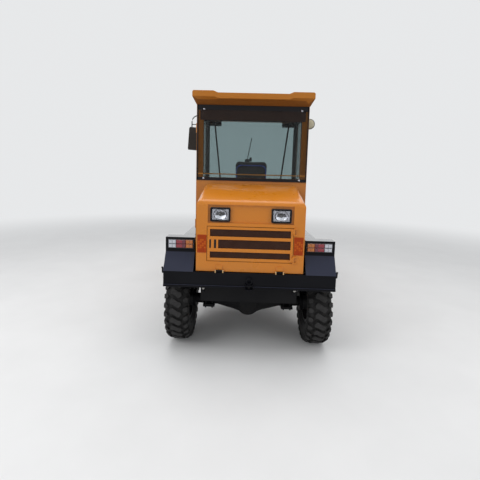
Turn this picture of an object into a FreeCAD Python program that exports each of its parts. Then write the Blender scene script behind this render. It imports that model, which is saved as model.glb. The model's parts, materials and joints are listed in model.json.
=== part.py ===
import FreeCAD, Part
import math
import os
from FreeCAD import Vector

# An articulated site dumper: engine and cab on the rear unit, skip on the front unit.
# Sizes are millimetres. x runs to the machine's right, s (station) forward from the bumper's rear face
# and z up from the ground. The finished pieces are moved so that the origin is the ground point
# below the middle of the machine.

X_AXIS = Vector(1, 0, 0)
S_AXIS = Vector(0, 1, 0)
Z_AXIS = Vector(0, 0, 1)

# Clearances
FIT_GAP = 0.3
PIN_GAP = 0.1
HINGE_PLAY = 1.0
MOVING_GAP = 5.0
TYRE_CLEARANCE = 20.0

# Lengths along the machine
SKIP_FRONT = 3900.0
TOW_REACH = 60.0
REAR_AXLE_S = 520.0
PIVOT_S = 1640.0
FRONT_AXLE_S = 2570.0

# Wheels
TYRE_RADIUS = 425.0
TYRE_WIDTH = 235.0
BEAD_RADIUS = 205.0
BEAD_SPACE = 152.0
TRACK = 1417.0
TREAD_DEPTH = 22.0
TREAD_PITCHES = 28
HUB_FACE = 590.0
WHEEL_NUTS = 6
NUT_CIRCLE = 62.0

# Heights that the rest is measured from
AXLE_TO_RAIL = 135.0
RAIL_HEIGHT = 180.0
RAIL_BOTTOM = TYRE_RADIUS + AXLE_TO_RAIL
RAIL_TOP = RAIL_BOTTOM + RAIL_HEIGHT
DECK = 2 * TYRE_RADIUS + TYRE_CLEARANCE

# Frames and the centre pivot
RAIL_X = 420.0
RAIL_WIDTH = 80.0
RAIL_WALL = 8.0
RAIL_OUTER = RAIL_X + RAIL_WIDTH / 2
REAR_RAIL_END = 1440.0
FRONT_RAIL_START = 2040.0
FRONT_RAIL_END = 3010.0
NECK_START = FRONT_RAIL_START - 193.0
CROSS_LENGTH = 80.0
BEARER_S = 940.0
BEARER_LENGTH = 60.0
BEARER_HEIGHT = 40.0
PIVOT_PIN_RADIUS = 30.0
PIVOT_EAR_RADIUS = 90.0
YOKE_TOP = RAIL_TOP + 20.0
YOKE_BOTTOM = RAIL_BOTTOM - 120.0
YOKE_PLATE = 25.0
YOKE_GAP = 3.0
PROP_Z = RAIL_BOTTOM + 80.0
PROP_RADIUS = 30.0
PROP_ROOM = 15.0

# Bumper and tow jaw
BUMPER_HALF = 800.0
BUMPER_HEIGHT = 147.0
BUMPER_DEPTH = 95.0
BUMPER_PLATE = 10.0
BUMPER_LIP = 8.0
BUMPER_BOTTOM = DECK - BUMPER_HEIGHT
END_PLATE = 20.0
TOW_HALF = 38.0
TOW_PLATE = 12.0
TOW_GAP = 28.0
TOW_PIN_RADIUS = 11.0
TOW_RING = (24.0, 5.0)
LASHING_X = 418.0
LASHING_HOLE = 16.0
LASHING_PLATE = 14.0
LASHING_DROP = 30.0

# Hood
HOOD_HALF = 499.0
HOOD_REAR = 30.0
HOOD_FRONT = 756.0
HOOD_BOTTOM = DECK + MOVING_GAP
HOOD_SHOULDER = DECK + 622.0
HOOD_TOP = DECK + 804.0
HOOD_SHEET = 5.0
HOOD_EDGE = 42.0
# The bonnet's profile above the shoulder: distance from its rear face, drop from its top
HOOD_CURVE = [(10.0, 152.0), (32.0, 133.0), (526.0, 6.0)]
LAMP_TRAY_HALF = HOOD_HALF - 105.0
LAMP_TRAY_BOTTOM = HOOD_SHOULDER - 161.0
LAMP_TRAY_TOP = HOOD_SHOULDER + 5.0
LAMP_TRAY_DEPTH = 18.0
HEADLAMP_X = LAMP_TRAY_HALF - 114.0
HEADLAMP_Z = HOOD_SHOULDER - 84.0
HEADLAMP_WIDTH = 185.0
HEADLAMP_HEIGHT = 132.0
HEADLAMP_RIM = 16.0
HEADLAMP_BOWL = 62.0
LOUVRES = 7
LOUVRE_PITCH = 42.0
LOUVRE_S = (300.0, 620.0)
LOUVRE_BOTTOM = DECK + 180.0
HINGE_PIN = 5.0
HINGE_BARREL = 9.0
HINGE_RING = 10.0
HOOD_HINGE_X = 280.0
HOOD_HINGE_S = 13.0
HOOD_HINGE_Z = DECK + 15.0
HOOD_HINGE_HALF = 29.0

# Grille door in the hood's rear face
GRILLE_HALF = HOOD_HALF - 103.0
GRILLE_BOTTOM = DECK + 105.0
GRILLE_TOP = GRILLE_BOTTOM + 321.0
GRILLE_SHEET = 6.0
GRILLE_RETURN = 18.0
GRILLE_FACE = HOOD_REAR - 2.0
GRILLE_HINGE_S = GRILLE_FACE - 9.0
GRILLE_HINGE_IN = 30.0
GRILLE_HINGE_HALF = 21.0
GRILLE_BARREL = 7.0
GRILLE_PIN = 4.0
# Slots: left end, right end, height of the bottom above the door's own, height of the slot
GRILLE_SLOTS = [
    (24.0 - GRILLE_HALF, GRILLE_HALF - 24.0, 230.0, 67.0),
    (101.0 - GRILLE_HALF, GRILLE_HALF - 23.0, 119.0, 82.0),
    (25.0 - GRILLE_HALF, GRILLE_HALF - 25.0, 28.0, 59.0),
]
LATCH_RECESS = (19.0 - GRILLE_HALF, 83.0 - GRILLE_HALF)
LATCH_PADDLE = (35.0 - GRILLE_HALF, 62.0 - GRILLE_HALF)
REFLECTOR = (GRILLE_HALF + 8.0, HOOD_HALF - 11.0)
REFLECTOR_BOTTOM = DECK + 179.0
REFLECTOR_HEIGHT = 168.0

# Fenders and their lamp boxes
FENDER_INNER = HOOD_HALF + 21.0
FENDER_OUTER = 800.0
FENDER_SHEET = 5.0
LAMP_BOX_REAR = 100.0
LAMP_BOX_FRONT = 225.0
LAMP_BOX_BOTTOM = DECK + 165.0
LAMP_BOX_TOP = LAMP_BOX_BOTTOM + 140.0
PLATFORM_TOP = DECK + 210.0
PLATFORM_OUTER = 755.0
PLATFORM_END = 1455.0
TAIL_LAMP_INNER = FENDER_INNER + 18.0
TAIL_LAMP_BOTTOM = LAMP_BOX_BOTTOM + 40.0
TAIL_LAMP_HEIGHT = 77.0
TAIL_LAMP_EDGE = 6.0
TAIL_LAMP_DEPTH = 14.0
# Widths of the tail lamp's lenses from the inside out: amber, red, white
TAIL_LENSES = [67.0, 92.0, 71.0]

# Engine, gearbox and radiator
ENGINE_HALF = 250.0
ENGINE_S = (230.0, 740.0)
ENGINE_BOTTOM = RAIL_BOTTOM + 80.0
ENGINE_TOP = DECK + 430.0
GEARBOX_HALF = 150.0
GEARBOX_TOP = RAIL_TOP + 60.0
ENGINE_FEET = [300.0, 620.0]
RADIATOR_HALF = GRILLE_HALF - 26.0
RADIATOR_S = 130.0
RADIATOR_DEPTH = 60.0
RADIATOR_BOTTOM = DECK + 30.0
RADIATOR_TOP = DECK + 420.0

# Cab
CAB_HALF = 625.0
CAB_REAR = 780.0
CAB_FRONT_LOW = 1800.0
CAB_FRONT_HIGH = 1745.0
CAB_FLOOR = DECK + 130.0
CAB_HEIGHT = 1545.0
CAB_WALL_TOP = CAB_FLOOR + CAB_HEIGHT
CAB_POST = 80.0
CAB_WALL = 40.0
CAB_PILLAR = 35.0
FLOOR_THICKNESS = 40.0
MOUNT_RADIUS = 36.0
MOUNT_S = [840.0, 1300.0]
GLASS = 6.0
GLASS_LAP = 25.0
REAR_GLASS_BOTTOM = CAB_WALL_TOP - 833.0
REAR_WINDOW_HALF = CAB_HALF - 77.0
REAR_WINDOW_BOTTOM = CAB_WALL_TOP - 797.0
REAR_WINDOW_TOP = CAB_WALL_TOP - 157.0
REAR_RAIL_DROP = 765.0
REAR_RAIL_HEIGHT = 12.0
SCREEN_BOTTOM = CAB_FLOOR + 300.0
SCREEN_TOP = CAB_WALL_TOP - 15.0
MULLION_LOW = CAB_HALF - 239.0
MULLION_HIGH = CAB_HALF - 102.0
MULLION_WIDTH = 20.0
SIDE_SILL = 160.0
SIDE_HEAD = 70.0
DOOR_BOTTOM = CAB_FLOOR + 92.0
DOOR_HINGE_X = -CAB_HALF - 12.0
DOOR_HINGE_S = CAB_REAR + CAB_POST + 6.0
DOOR_HINGES = [CAB_FLOOR + 200.0, CAB_FLOOR + 1300.0]
DOOR_HINGE_HALF = 40.0
ROOF_REAR = 655.0
ROOF_FRONT = 1890.0
ROOF_HALF = CAB_HALF + 33.0
ROOF_LIP = CAB_WALL_TOP + 60.0
ROOF_FASCIA = 63.0
ROOF_DIP = 20.0
ROOF_DIP_HALF = (ROOF_HALF - 278.0, ROOF_HALF - 228.0)
ROOF_INSIDE = 60.0
FRONT_LAMP_X = (CAB_HALF - 192.0, CAB_HALF + 10.0)
FRONT_LAMP_S = (1775.0, 1835.0)
FRONT_LAMP_DROP = (65.0, -5.0)
MIRROR_S = 1885.0
MIRROR_DEPTH = 45.0
MIRROR_ARM = 9.0
ROUND_MIRROR = 95.0

# Seat and steering
SEAT_TOP = CAB_FLOOR + 450.0
SEAT_HALF = 225.0
SEAT_REAR = 1055.0
SEAT_DEPTH = 425.0
SEAT_PAD = 90.0
BACK_HALF = 200.0
BACK_HEIGHT = 500.0
BACK_THICKNESS = 75.0
BACK_CORNER = 45.0
BACK_LEAN = 10.0
COLUMN_FOOT_S = 1640.0
COLUMN_RADIUS = 45.0
COLUMN_HEIGHT = 640.0
COLUMN_LEAN = 9.0
STEERING_WHEEL = (180.0, 14.0)

# Tanks beside the frame
TANK_REAR = REAR_AXLE_S + TYRE_RADIUS + 75.0
TANK_FRONT = 1430.0
TANK_OUTER = 780.0
TANK_BOTTOM = RAIL_BOTTOM - 20.0
TOE_HOLE = (640.0, 760.0)

# Axles
BANJO_RADIUS = 135.0
TUBE_RADIUS = 55.0
SNOUT_REACH = 210.0
SPRING_PAD = 45.0
UBOLT_X = 36.0
UBOLT_S = 71.0
UBOLT_DROP = 80.0
UBOLT_RADIUS = 8.0

# Skip
SKIP_HALF = 775.0
SKIP_WALL = 8.0
SKIP_FLOOR = DECK + 60.0
SKIP_RIM = SKIP_FLOOR + 610.0
SKIP_REAR_TOP = 2230.0
SKIP_REAR_LOW = 2330.0
SKIP_KNEE_UP = 220.0
SKIP_FLOOR_END = 3330.0
SKIP_NOSE_UP = 260.0
SKIP_NOSE_LIP = 70.0
SKIP_SIDE_END = 3350.0
SKIP_CHAMFER = (150.0, 170.0)
SKIP_NOSE_CHAMFER = (110.0, 350.0)
RIM_TUBE = 20.0
RIM_HEIGHT = 35.0
SKIP_RIBS = [2480.0, 2800.0, 3120.0]
RIB_WIDTH = 40.0
RIB_DEPTH = 15.0
STAND_S = (2335.0, 2400.0)

# Tipping and steering rams: places of the pins in the plane that each works in
TIP_PIVOT = (2950.0, RAIL_TOP + 60.0)
TIP_PIN_RADIUS = 18.0
TIP_EAR_RADIUS = 45.0
TIP_EAR = (400.0, 440.0)
TIP_LUG = (350.0, 392.0)
RAM_BASE = (2300.0, RAIL_BOTTOM + 40.0)
RAM_EYE = (2700.0, SKIP_FLOOR - 50.0)
RAM_LUG = (30.0, 42.0)
STEER_BASE = (330.0, 1200.0)
STEER_EYE = (170.0, 1785.0)
STEER_Z = RAIL_BOTTOM - 60.0
STEER_LIMIT = 32.0
STEER_LUG = (17.0, 27.0)


def box(x0, x1, s0, s1, z0, z1):
    return Part.makeBox(x1 - x0, s1 - s0, z1 - z0, Vector(x0, s0, z0))


def bar(start, end, radius):
    a = Vector(*start)
    run = Vector(*end) - a
    return Part.makeCylinder(radius, run.Length, a, run)


def rod(centre, axis, low, high, radius):
    """A round bar along an axis, between two distances from a centre."""
    return Part.makeCylinder(radius, high - low, Vector(*centre) + axis * low, axis)


def prism(points, low, high, across):
    """A polygon drawn in the plane square to an axis (x, s or z) and pushed along it."""
    place = {
        "x": lambda a, b: Vector(low, a, b),
        "s": lambda a, b: Vector(a, low, b),
        "z": lambda a, b: Vector(a, b, low),
    }[across]
    push = {"x": X_AXIS, "s": S_AXIS, "z": Z_AXIS}[across]
    corners = [place(a, b) for a, b in points]
    wire = Part.makePolygon(corners + corners[:1])
    return Part.Face(wire).extrude(push * (high - low))


def fuse(shapes):
    body = shapes[0].multiFuse(shapes[1:]) if len(shapes) > 1 else shapes[0]
    return body.removeSplitter()


def mirrored(shape):
    return shape.mirror(Vector(0, 0, 0), X_AXIS)


def both(shapes):
    """The pieces and their mirror images."""
    return list(shapes) + [mirrored(shape) for shape in shapes]


def pair(shape):
    return Part.makeCompound(both([shape]))


def turned(profile, centre, across_x=True):
    """A closed profile of (along, radius) points turned about an axis through centre."""
    corners = [Vector(a, 0, r) for a, r in profile]
    face = Part.Face(Part.makePolygon(corners + corners[:1]))
    solid = face.revolve(Vector(0, 0, 0), X_AXIS, 360)
    if not across_x:
        solid.rotate(Vector(0, 0, 0), Z_AXIS, 90)
    solid.translate(Vector(*centre))
    return solid


def filleted(shape, radius, chosen):
    edges = [e for e in shape.Edges if chosen(e)]
    return shape.makeFillet(radius, edges)


def eye_plate(centre, radius, foot, low, high):
    """A plate with a round end, in plan, from a pin's centre to a foot edge (x0, x1, s)."""
    cx, cs = centre
    x0, x1, s = foot
    near = [(cx - radius, cs), (cx + radius, cs)]
    far = [(x1, s), (x0, s)]
    web = prism(near + far, low, high, "z")
    return fuse([web, rod((cx, cs, 0), Z_AXIS, low, high, radius)])


# Hinges: a bored knuckle on the leaf that moves, and a pin between two rings on the leaf that stays


def knuckle(centre, axis, half, radius, pin):
    barrel = rod(centre, axis, -half, half, radius)
    return barrel.cut(rod(centre, axis, -half - 1, half + 1, pin + PIN_GAP))


def pin_and_rings(centre, axis, half, radius, pin):
    near = half + HINGE_PLAY
    far = near + HINGE_RING
    return [
        rod(centre, axis, -far, far, pin),
        rod(centre, axis, near, far, radius),
        rod(centre, axis, -far, -near, radius),
    ]


def ring_spans(half):
    """The two stretches that a hinge's rings take along its axis."""
    near = half + HINGE_PLAY
    return [(near, near + HINGE_RING), (-near - HINGE_RING, -near)]


# Rear unit: frame, bumper and fenders


def rail(s0, s1):
    inner = RAIL_X - RAIL_WIDTH / 2
    t = RAIL_WALL
    whole = box(inner, RAIL_OUTER, s0, s1, RAIL_BOTTOM, RAIL_TOP)
    return whole.cut(box(inner + t, RAIL_OUTER - t, s0 - 1, s1 + 1, RAIL_BOTTOM + t, RAIL_TOP - t))


def steer_lugs(pin, foot):
    """Two plates that hold a steering ram's pin."""
    near, far = STEER_LUG
    return [
        eye_plate(pin, 26, foot, STEER_Z + near, STEER_Z + far),
        eye_plate(pin, 26, foot, STEER_Z - far, STEER_Z - near),
    ]


def rear_frame():
    cross = REAR_RAIL_END - CROSS_LENGTH
    parts = both([rail(BUMPER_DEPTH + END_PLATE, REAR_RAIL_END)])
    parts.append(box(-RAIL_OUTER, RAIL_OUTER, BUMPER_DEPTH, BUMPER_DEPTH + END_PLATE, RAIL_BOTTOM, DECK - 20))
    parts.append(box(-RAIL_OUTER, RAIL_OUTER, BEARER_S, BEARER_S + BEARER_LENGTH,
                     RAIL_BOTTOM, RAIL_BOTTOM + BEARER_HEIGHT))
    parts.append(box(-RAIL_OUTER, RAIL_OUTER, cross, REAR_RAIL_END, RAIL_BOTTOM, YOKE_TOP))
    parts.append(box(-150, 150, cross, REAR_RAIL_END, YOKE_BOTTOM, RAIL_BOTTOM))
    ears = [YOKE_TOP - YOKE_PLATE, YOKE_BOTTOM]
    for low in ears:
        foot = (-150, 150, REAR_RAIL_END)
        parts.append(eye_plate((0, PIVOT_S), PIVOT_EAR_RADIUS, foot, low, low + YOKE_PLATE))
    reach = YOKE_PLATE + YOKE_GAP
    pivot = (0, PIVOT_S, 0)
    parts.append(rod(pivot, Z_AXIS, YOKE_BOTTOM - 10, YOKE_BOTTOM + YOKE_PLATE + reach, PIVOT_PIN_RADIUS))
    parts.append(rod(pivot, Z_AXIS, YOKE_TOP - YOKE_PLATE - reach, YOKE_TOP + 10, PIVOT_PIN_RADIUS))
    x, s = STEER_BASE
    web = box(x - 30, RAIL_OUTER, s - 60, s - 45, STEER_Z - STEER_LUG[1], RAIL_BOTTOM)
    pin = rod((x, s, STEER_Z), Z_AXIS, -30, 30, 12)
    parts += both([web, pin] + steer_lugs((x, s), (x - 30, x + 40, s - 50)))
    shaft_way = bar((0, cross - 10, PROP_Z), (0, REAR_RAIL_END + 10, PROP_Z), PROP_RADIUS + PROP_ROOM)
    return fuse(parts).cut(shaft_way)


def bumper_outline(t):
    """The bumper's channel section: an upright face, a lip that stands out below, and two flanges."""
    low, high, depth = BUMPER_BOTTOM, DECK, BUMPER_DEPTH
    inner = BUMPER_LIP + t
    return [
        (BUMPER_LIP, high), (BUMPER_LIP, low + 24), (0, low + 14), (0, low), (depth, low), (depth, low + t),
        (inner, low + t), (inner, high - t), (depth, high - t), (depth, high),
    ]


def lashing_eye():
    """A drilled plate below the bumper for a lashing shackle."""
    s = BUMPER_DEPTH / 2
    z = BUMPER_BOTTOM - LASHING_DROP
    x1 = LASHING_X + LASHING_PLATE
    plate = fuse([
        box(LASHING_X, x1, s - 30, s + 30, z, BUMPER_BOTTOM),
        bar((LASHING_X, s, z), (x1, s, z), 30),
    ])
    return plate.cut(bar((LASHING_X - 1, s, z), (x1 + 1, s, z), LASHING_HOLE))


def bumper():
    channel = prism(bumper_outline(BUMPER_PLATE), -BUMPER_HALF, BUMPER_HALF, "x")
    end = box(BUMPER_HALF - 8, BUMPER_HALF, BUMPER_LIP, BUMPER_DEPTH, BUMPER_BOTTOM, DECK)
    centre = (HOOD_HINGE_X, HOOD_HINGE_S, HOOD_HINGE_Z)
    hinge = pin_and_rings(centre, X_AXIS, HOOD_HINGE_HALF, HINGE_BARREL, HINGE_PIN)
    for near, far in ring_spans(HOOD_HINGE_HALF):
        hinge.append(box(HOOD_HINGE_X + near, HOOD_HINGE_X + far, HOOD_HINGE_S - HINGE_BARREL,
                         HOOD_HINGE_S + HINGE_BARREL, DECK - 2, HOOD_HINGE_Z))
    return fuse([channel] + both([end, lashing_eye()] + hinge))


def tow_jaw():
    """Two plates on the bumper's lip and a drop pin with a ring to pull it by."""
    low = BUMPER_BOTTOM
    high = low + 2 * TOW_PLATE + TOW_GAP
    back = prism([
        (-8, low), (0, low), (0, low + 26), (BUMPER_LIP, low + 28), (BUMPER_LIP, high), (-8, high),
    ], -TOW_HALF, TOW_HALF, "x")
    pin_s = 30 - TOW_REACH
    parts = [back]
    for z in (low, high - TOW_PLATE):
        parts.append(eye_plate((0, pin_s), 30, (-TOW_HALF, TOW_HALF, -8), z, z + TOW_PLATE))
    major, minor = TOW_RING
    ring_z = high + major + minor - 1
    parts.append(rod((0, pin_s, 0), Z_AXIS, low - 12, high + 6, TOW_PIN_RADIUS))
    parts.append(Part.makeTorus(major, minor, Vector(0, pin_s, ring_z), S_AXIS))
    return fuse(parts)


def fender_volume(t):
    """The right fender's outside, or its hollow when t is the sheet's thickness."""
    low = DECK - (1.0 if t else 0.0)
    lamp_end = prism([
        (2.2 * t, low), (LAMP_BOX_REAR + t, LAMP_BOX_BOTTOM - 0.4 * t), (LAMP_BOX_REAR + t, LAMP_BOX_TOP - t),
        (LAMP_BOX_FRONT - t, LAMP_BOX_TOP - t), (LAMP_BOX_FRONT - t, low),
    ], FENDER_INNER + t, FENDER_OUTER - t, "x")
    platform = box(FENDER_INNER + t, PLATFORM_OUTER - t, LAMP_BOX_REAR + 40, PLATFORM_END - t, low,
                   PLATFORM_TOP - t)
    beside_cab = box(FENDER_INNER - 1, CAB_HALF + MOVING_GAP + t, CAB_REAR - 15 - t, PLATFORM_END + 1,
                     DECK - 10, PLATFORM_TOP + 10)
    return fuse([lamp_end, platform]).cut(beside_cab)


def rear_fenders():
    return pair(fender_volume(0).cut(fender_volume(FENDER_SHEET)))


def tail_lamps():
    """Each lamp is a base with three lenses, each lens in two rows."""
    edge = TAIL_LAMP_EDGE
    face = LAMP_BOX_REAR - 8
    width = sum(TAIL_LENSES)
    parts = [box(TAIL_LAMP_INNER - edge, TAIL_LAMP_INNER + width + edge, face, LAMP_BOX_REAR,
                 TAIL_LAMP_BOTTOM - edge, TAIL_LAMP_BOTTOM + TAIL_LAMP_HEIGHT + edge)]
    x = TAIL_LAMP_INNER
    row = TAIL_LAMP_HEIGHT / 2
    for lens in TAIL_LENSES:
        for z in (TAIL_LAMP_BOTTOM, TAIL_LAMP_BOTTOM + row):
            block = box(x + 1, x + lens - 1, face - TAIL_LAMP_DEPTH, face, z + 1, z + row - 1)
            parts.append(filleted(block, 4, lambda e: e.BoundBox.YMax < face - TAIL_LAMP_DEPTH + 0.1))
        x += lens
    return pair(fuse(parts))


# Engine under the hood


def engine():
    s0, s1 = ENGINE_S
    block = box(-ENGINE_HALF, ENGINE_HALF, s0, s1, ENGINE_BOTTOM, ENGINE_TOP)
    end = BEARER_S + BEARER_LENGTH
    gearbox = box(-GEARBOX_HALF, GEARBOX_HALF, s1, end, RAIL_BOTTOM + BEARER_HEIGHT, GEARBOX_TOP)
    feet = [box(-RAIL_OUTER, RAIL_OUTER, s, s + 60, RAIL_TOP, RAIL_TOP + 40) for s in ENGINE_FEET]
    flange = bar((0, end, PROP_Z), (0, end + 30, PROP_Z), 38)
    return fuse([block, gearbox, flange] + feet)


def radiator():
    front = RADIATOR_S + RADIATOR_DEPTH
    core = box(-RADIATOR_HALF, RADIATOR_HALF, RADIATOR_S, front, RADIATOR_BOTTOM, RADIATOR_TOP)
    foot = box(RADIATOR_HALF - 60, RADIATOR_HALF, BUMPER_DEPTH, front, DECK - 20, RADIATOR_BOTTOM)
    shroud = rod((0, front, (RADIATOR_BOTTOM + RADIATOR_TOP) / 2), S_AXIS, 0, 30, 170)
    return fuse([core, shroud] + both([foot]))


# Hood and its grille door


def hood_volume(t):
    low = HOOD_BOTTOM - (1.0 if t else 0.0)
    front = HOOD_FRONT + (1.0 if t else 0.0)
    curve = [(HOOD_REAR + s, HOOD_TOP - drop) for s, drop in HOOD_CURVE]
    outline = [
        (HOOD_REAR + t, low),
        (HOOD_REAR + t, HOOD_SHOULDER - 0.5 * t),
        (curve[0][0] + t, curve[0][1] - 0.8 * t),
        (curve[1][0] + 0.5 * t, curve[1][1] - t),
        (curve[2][0], curve[2][1] - t),
        (front, HOOD_TOP - t),
        (front, low),
    ]
    whole = prism(outline, -HOOD_HALF + t, HOOD_HALF - t, "x")
    return filleted(
        whole, HOOD_EDGE - t,
        lambda e: abs(abs(e.CenterOfMass.x) - HOOD_HALF + t) < 0.01
        and e.BoundBox.ZMin > curve[1][1] - t - 1 and e.BoundBox.YLength > 100,
    )


def grille_hinges():
    return [
        (GRILLE_HALF + 4, GRILLE_HINGE_S, z)
        for z in (GRILLE_BOTTOM + GRILLE_HINGE_IN, GRILLE_TOP - GRILLE_HINGE_IN)
    ]


def hood():
    shell = hood_volume(0).cut(hood_volume(HOOD_SHEET))
    half = LAMP_TRAY_HALF
    back = HOOD_REAR + LAMP_TRAY_DEPTH
    tray = box(-half - 5, half + 5, HOOD_REAR, back + HOOD_SHEET, LAMP_TRAY_BOTTOM - 5, LAMP_TRAY_TOP + 5)
    tray_hollow = box(-half, half, HOOD_REAR - 1, back, LAMP_TRAY_BOTTOM, LAMP_TRAY_TOP)
    edge = GRILLE_HALF + 25
    jamb = box(-edge, edge, HOOD_REAR, HOOD_REAR + 20, GRILLE_BOTTOM - 20, GRILLE_TOP + 20)
    side = GRILLE_HALF + MOVING_GAP
    opening = box(-side, side, HOOD_REAR - 1, HOOD_REAR + 30, GRILLE_BOTTOM - MOVING_GAP,
                  GRILLE_TOP + MOVING_GAP)
    body = fuse([shell, tray, jamb]).cut(tray_hollow).cut(opening)
    s0, s1 = LOUVRE_S
    for row in range(LOUVRES):
        z = LOUVRE_BOTTOM + row * LOUVRE_PITCH
        body = body.cut(box(-HOOD_HALF - 1, HOOD_HALF + 1, s0, s1, z, z + 14))
    parts = [body]
    s, z = HOOD_HINGE_S, HOOD_HINGE_Z
    wide = HOOD_HINGE_HALF
    leaf = box(HOOD_HINGE_X - wide, HOOD_HINGE_X + wide, HOOD_REAR - 8, HOOD_REAR + 1, HOOD_BOTTOM + 2, z + 50)
    arm = box(HOOD_HINGE_X - wide, HOOD_HINGE_X + wide, s, HOOD_REAR - 4, z - 7, z + 7)
    centre = (HOOD_HINGE_X, s, z)
    way = rod(centre, X_AXIS, -wide - 1, wide + 1, HINGE_PIN + PIN_GAP)
    arm = arm.cut(way)
    parts += both([leaf, arm, knuckle(centre, X_AXIS, wide, HINGE_BARREL, HINGE_PIN)])
    for x, s, z in grille_hinges():
        parts += pin_and_rings((x, s, z), Z_AXIS, GRILLE_HINGE_HALF, GRILLE_BARREL, GRILLE_PIN)
        for near, far in ring_spans(GRILLE_HINGE_HALF):
            parts.append(box(x, x + 26, s - GRILLE_BARREL, HOOD_REAR + 1, z + near, z + far))
    return fuse(parts)


def grille_door():
    face = GRILLE_FACE
    t = GRILLE_SHEET
    panel = box(-GRILLE_HALF, GRILLE_HALF, face, face + GRILLE_RETURN, GRILLE_BOTTOM, GRILLE_TOP)
    panel = panel.cut(box(-GRILLE_HALF + t, GRILLE_HALF - t, face + t, face + GRILLE_RETURN + 1,
                          GRILLE_BOTTOM + t, GRILLE_TOP - t))
    for x0, x1, up, height in GRILLE_SLOTS:
        panel = panel.cut(box(x0, x1, face - 1, face + t + 1, GRILLE_BOTTOM + up, GRILLE_BOTTOM + up + height))
    middle = GRILLE_BOTTOM + GRILLE_SLOTS[1][2]
    top = middle + GRILLE_SLOTS[1][3]
    recess = box(LATCH_RECESS[0], LATCH_RECESS[1], face - 1, face + t - 2, middle, top)
    paddle = box(LATCH_PADDLE[0], LATCH_PADDLE[1], face + 1, face + t - 1, middle, top)
    parts = [panel.cut(recess), paddle]
    for x, s, z in grille_hinges():
        half = GRILLE_HINGE_HALF
        way = rod((x, s, z), Z_AXIS, -half - 1, half + 1, GRILLE_PIN + PIN_GAP)
        leaf = box(GRILLE_HALF - 25, x, face - 9, face, z - half, z + half)
        parts += [leaf.cut(way), knuckle((x, s, z), Z_AXIS, half, GRILLE_BARREL, GRILLE_PIN)]
    return fuse(parts)


def grille_mesh():
    back = GRILLE_FACE + GRILLE_SHEET
    edge = GRILLE_HALF - GRILLE_SHEET - FIT_GAP
    return box(-edge, edge, back, back + 4, GRILLE_BOTTOM + GRILLE_SHEET + FIT_GAP,
               GRILLE_TOP - GRILLE_SHEET - FIT_GAP)


def headlamps():
    """A bezel with a rounded pocket and the reflector's bowl sunk in it."""
    face = HOOD_REAR - 6
    back = HOOD_REAR + LAMP_TRAY_DEPTH
    wide = HEADLAMP_WIDTH / 2
    tall = HEADLAMP_HEIGHT / 2
    upright = lambda e: e.BoundBox.YLength > 5
    bezel = box(HEADLAMP_X - wide, HEADLAMP_X + wide, face, back, HEADLAMP_Z - tall, HEADLAMP_Z + tall)
    bezel = filleted(bezel, 12, upright)
    rim = HEADLAMP_RIM
    pocket = box(HEADLAMP_X - wide + rim, HEADLAMP_X + wide - rim, face - 6, face + 6,
                 HEADLAMP_Z - tall + rim, HEADLAMP_Z + tall - rim)
    pocket = filleted(pocket, 6, upright)
    bowl = Part.makeSphere(HEADLAMP_BOWL, Vector(HEADLAMP_X, face + 14 - HEADLAMP_BOWL, HEADLAMP_Z))
    return pair(bezel.cut(pocket).cut(bowl))


def side_reflectors():
    plate = box(REFLECTOR[0], REFLECTOR[1], HOOD_REAR - 2, HOOD_REAR,
                REFLECTOR_BOTTOM, REFLECTOR_BOTTOM + REFLECTOR_HEIGHT)
    return pair(filleted(plate, 4, lambda e: e.BoundBox.YLength > 1.5))


# Cab


def cab_front_s(z):
    run = (z - CAB_FLOOR) / CAB_HEIGHT
    return CAB_FRONT_LOW + run * (CAB_FRONT_HIGH - CAB_FRONT_LOW)


def front_slab(depth, low, high, half):
    """A stretch of the cab's leaning front, from its outer face inwards."""
    return prism([
        (cab_front_s(low), low), (cab_front_s(high), high),
        (cab_front_s(high) - depth, high), (cab_front_s(low) - depth, low),
    ], -half, half, "x")


def cab_floor():
    low = CAB_FLOOR - FLOOR_THICKNESS
    parts = [box(-CAB_HALF, CAB_HALF, CAB_REAR, CAB_FRONT_LOW, low, CAB_FLOOR)]
    sill = DOOR_BOTTOM - MOVING_GAP
    parts.append(box(-CAB_HALF, -CAB_HALF + CAB_WALL, CAB_REAR + CAB_POST, cab_front_s(sill) - CAB_POST - 1,
                     CAB_FLOOR, sill))
    for s in MOUNT_S:
        parts += both([bar((RAIL_X, s, RAIL_TOP), (RAIL_X, s, low), MOUNT_RADIUS)])
    return fuse(parts)


def cab_rear():
    half = REAR_WINDOW_HALF
    whole = box(-CAB_HALF, CAB_HALF, CAB_REAR, CAB_REAR + CAB_POST, CAB_FLOOR, CAB_WALL_TOP)
    inside = box(-half, half, CAB_REAR + CAB_WALL, CAB_REAR + CAB_POST + 1, CAB_FLOOR - 1, CAB_WALL_TOP - 40)
    window = box(-half, half, CAB_REAR - 1, CAB_REAR + CAB_POST + 1, REAR_WINDOW_BOTTOM, REAR_WINDOW_TOP)
    parts = [whole.cut(inside).cut(window)]
    rail_z = CAB_WALL_TOP - REAR_RAIL_DROP
    parts.append(box(-half - 5, half + 5, CAB_REAR + 4, CAB_REAR + 16, rail_z, rail_z + REAR_RAIL_HEIGHT))
    x, s = DOOR_HINGE_X, DOOR_HINGE_S
    for z in DOOR_HINGES:
        parts += pin_and_rings((x, s, z), Z_AXIS, DOOR_HINGE_HALF, HINGE_BARREL, HINGE_PIN)
        for near, far in ring_spans(DOOR_HINGE_HALF):
            parts.append(box(x, -CAB_HALF + 5, s - 36, CAB_REAR + CAB_POST, z + near, z + far))
    return fuse(parts)


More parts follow.
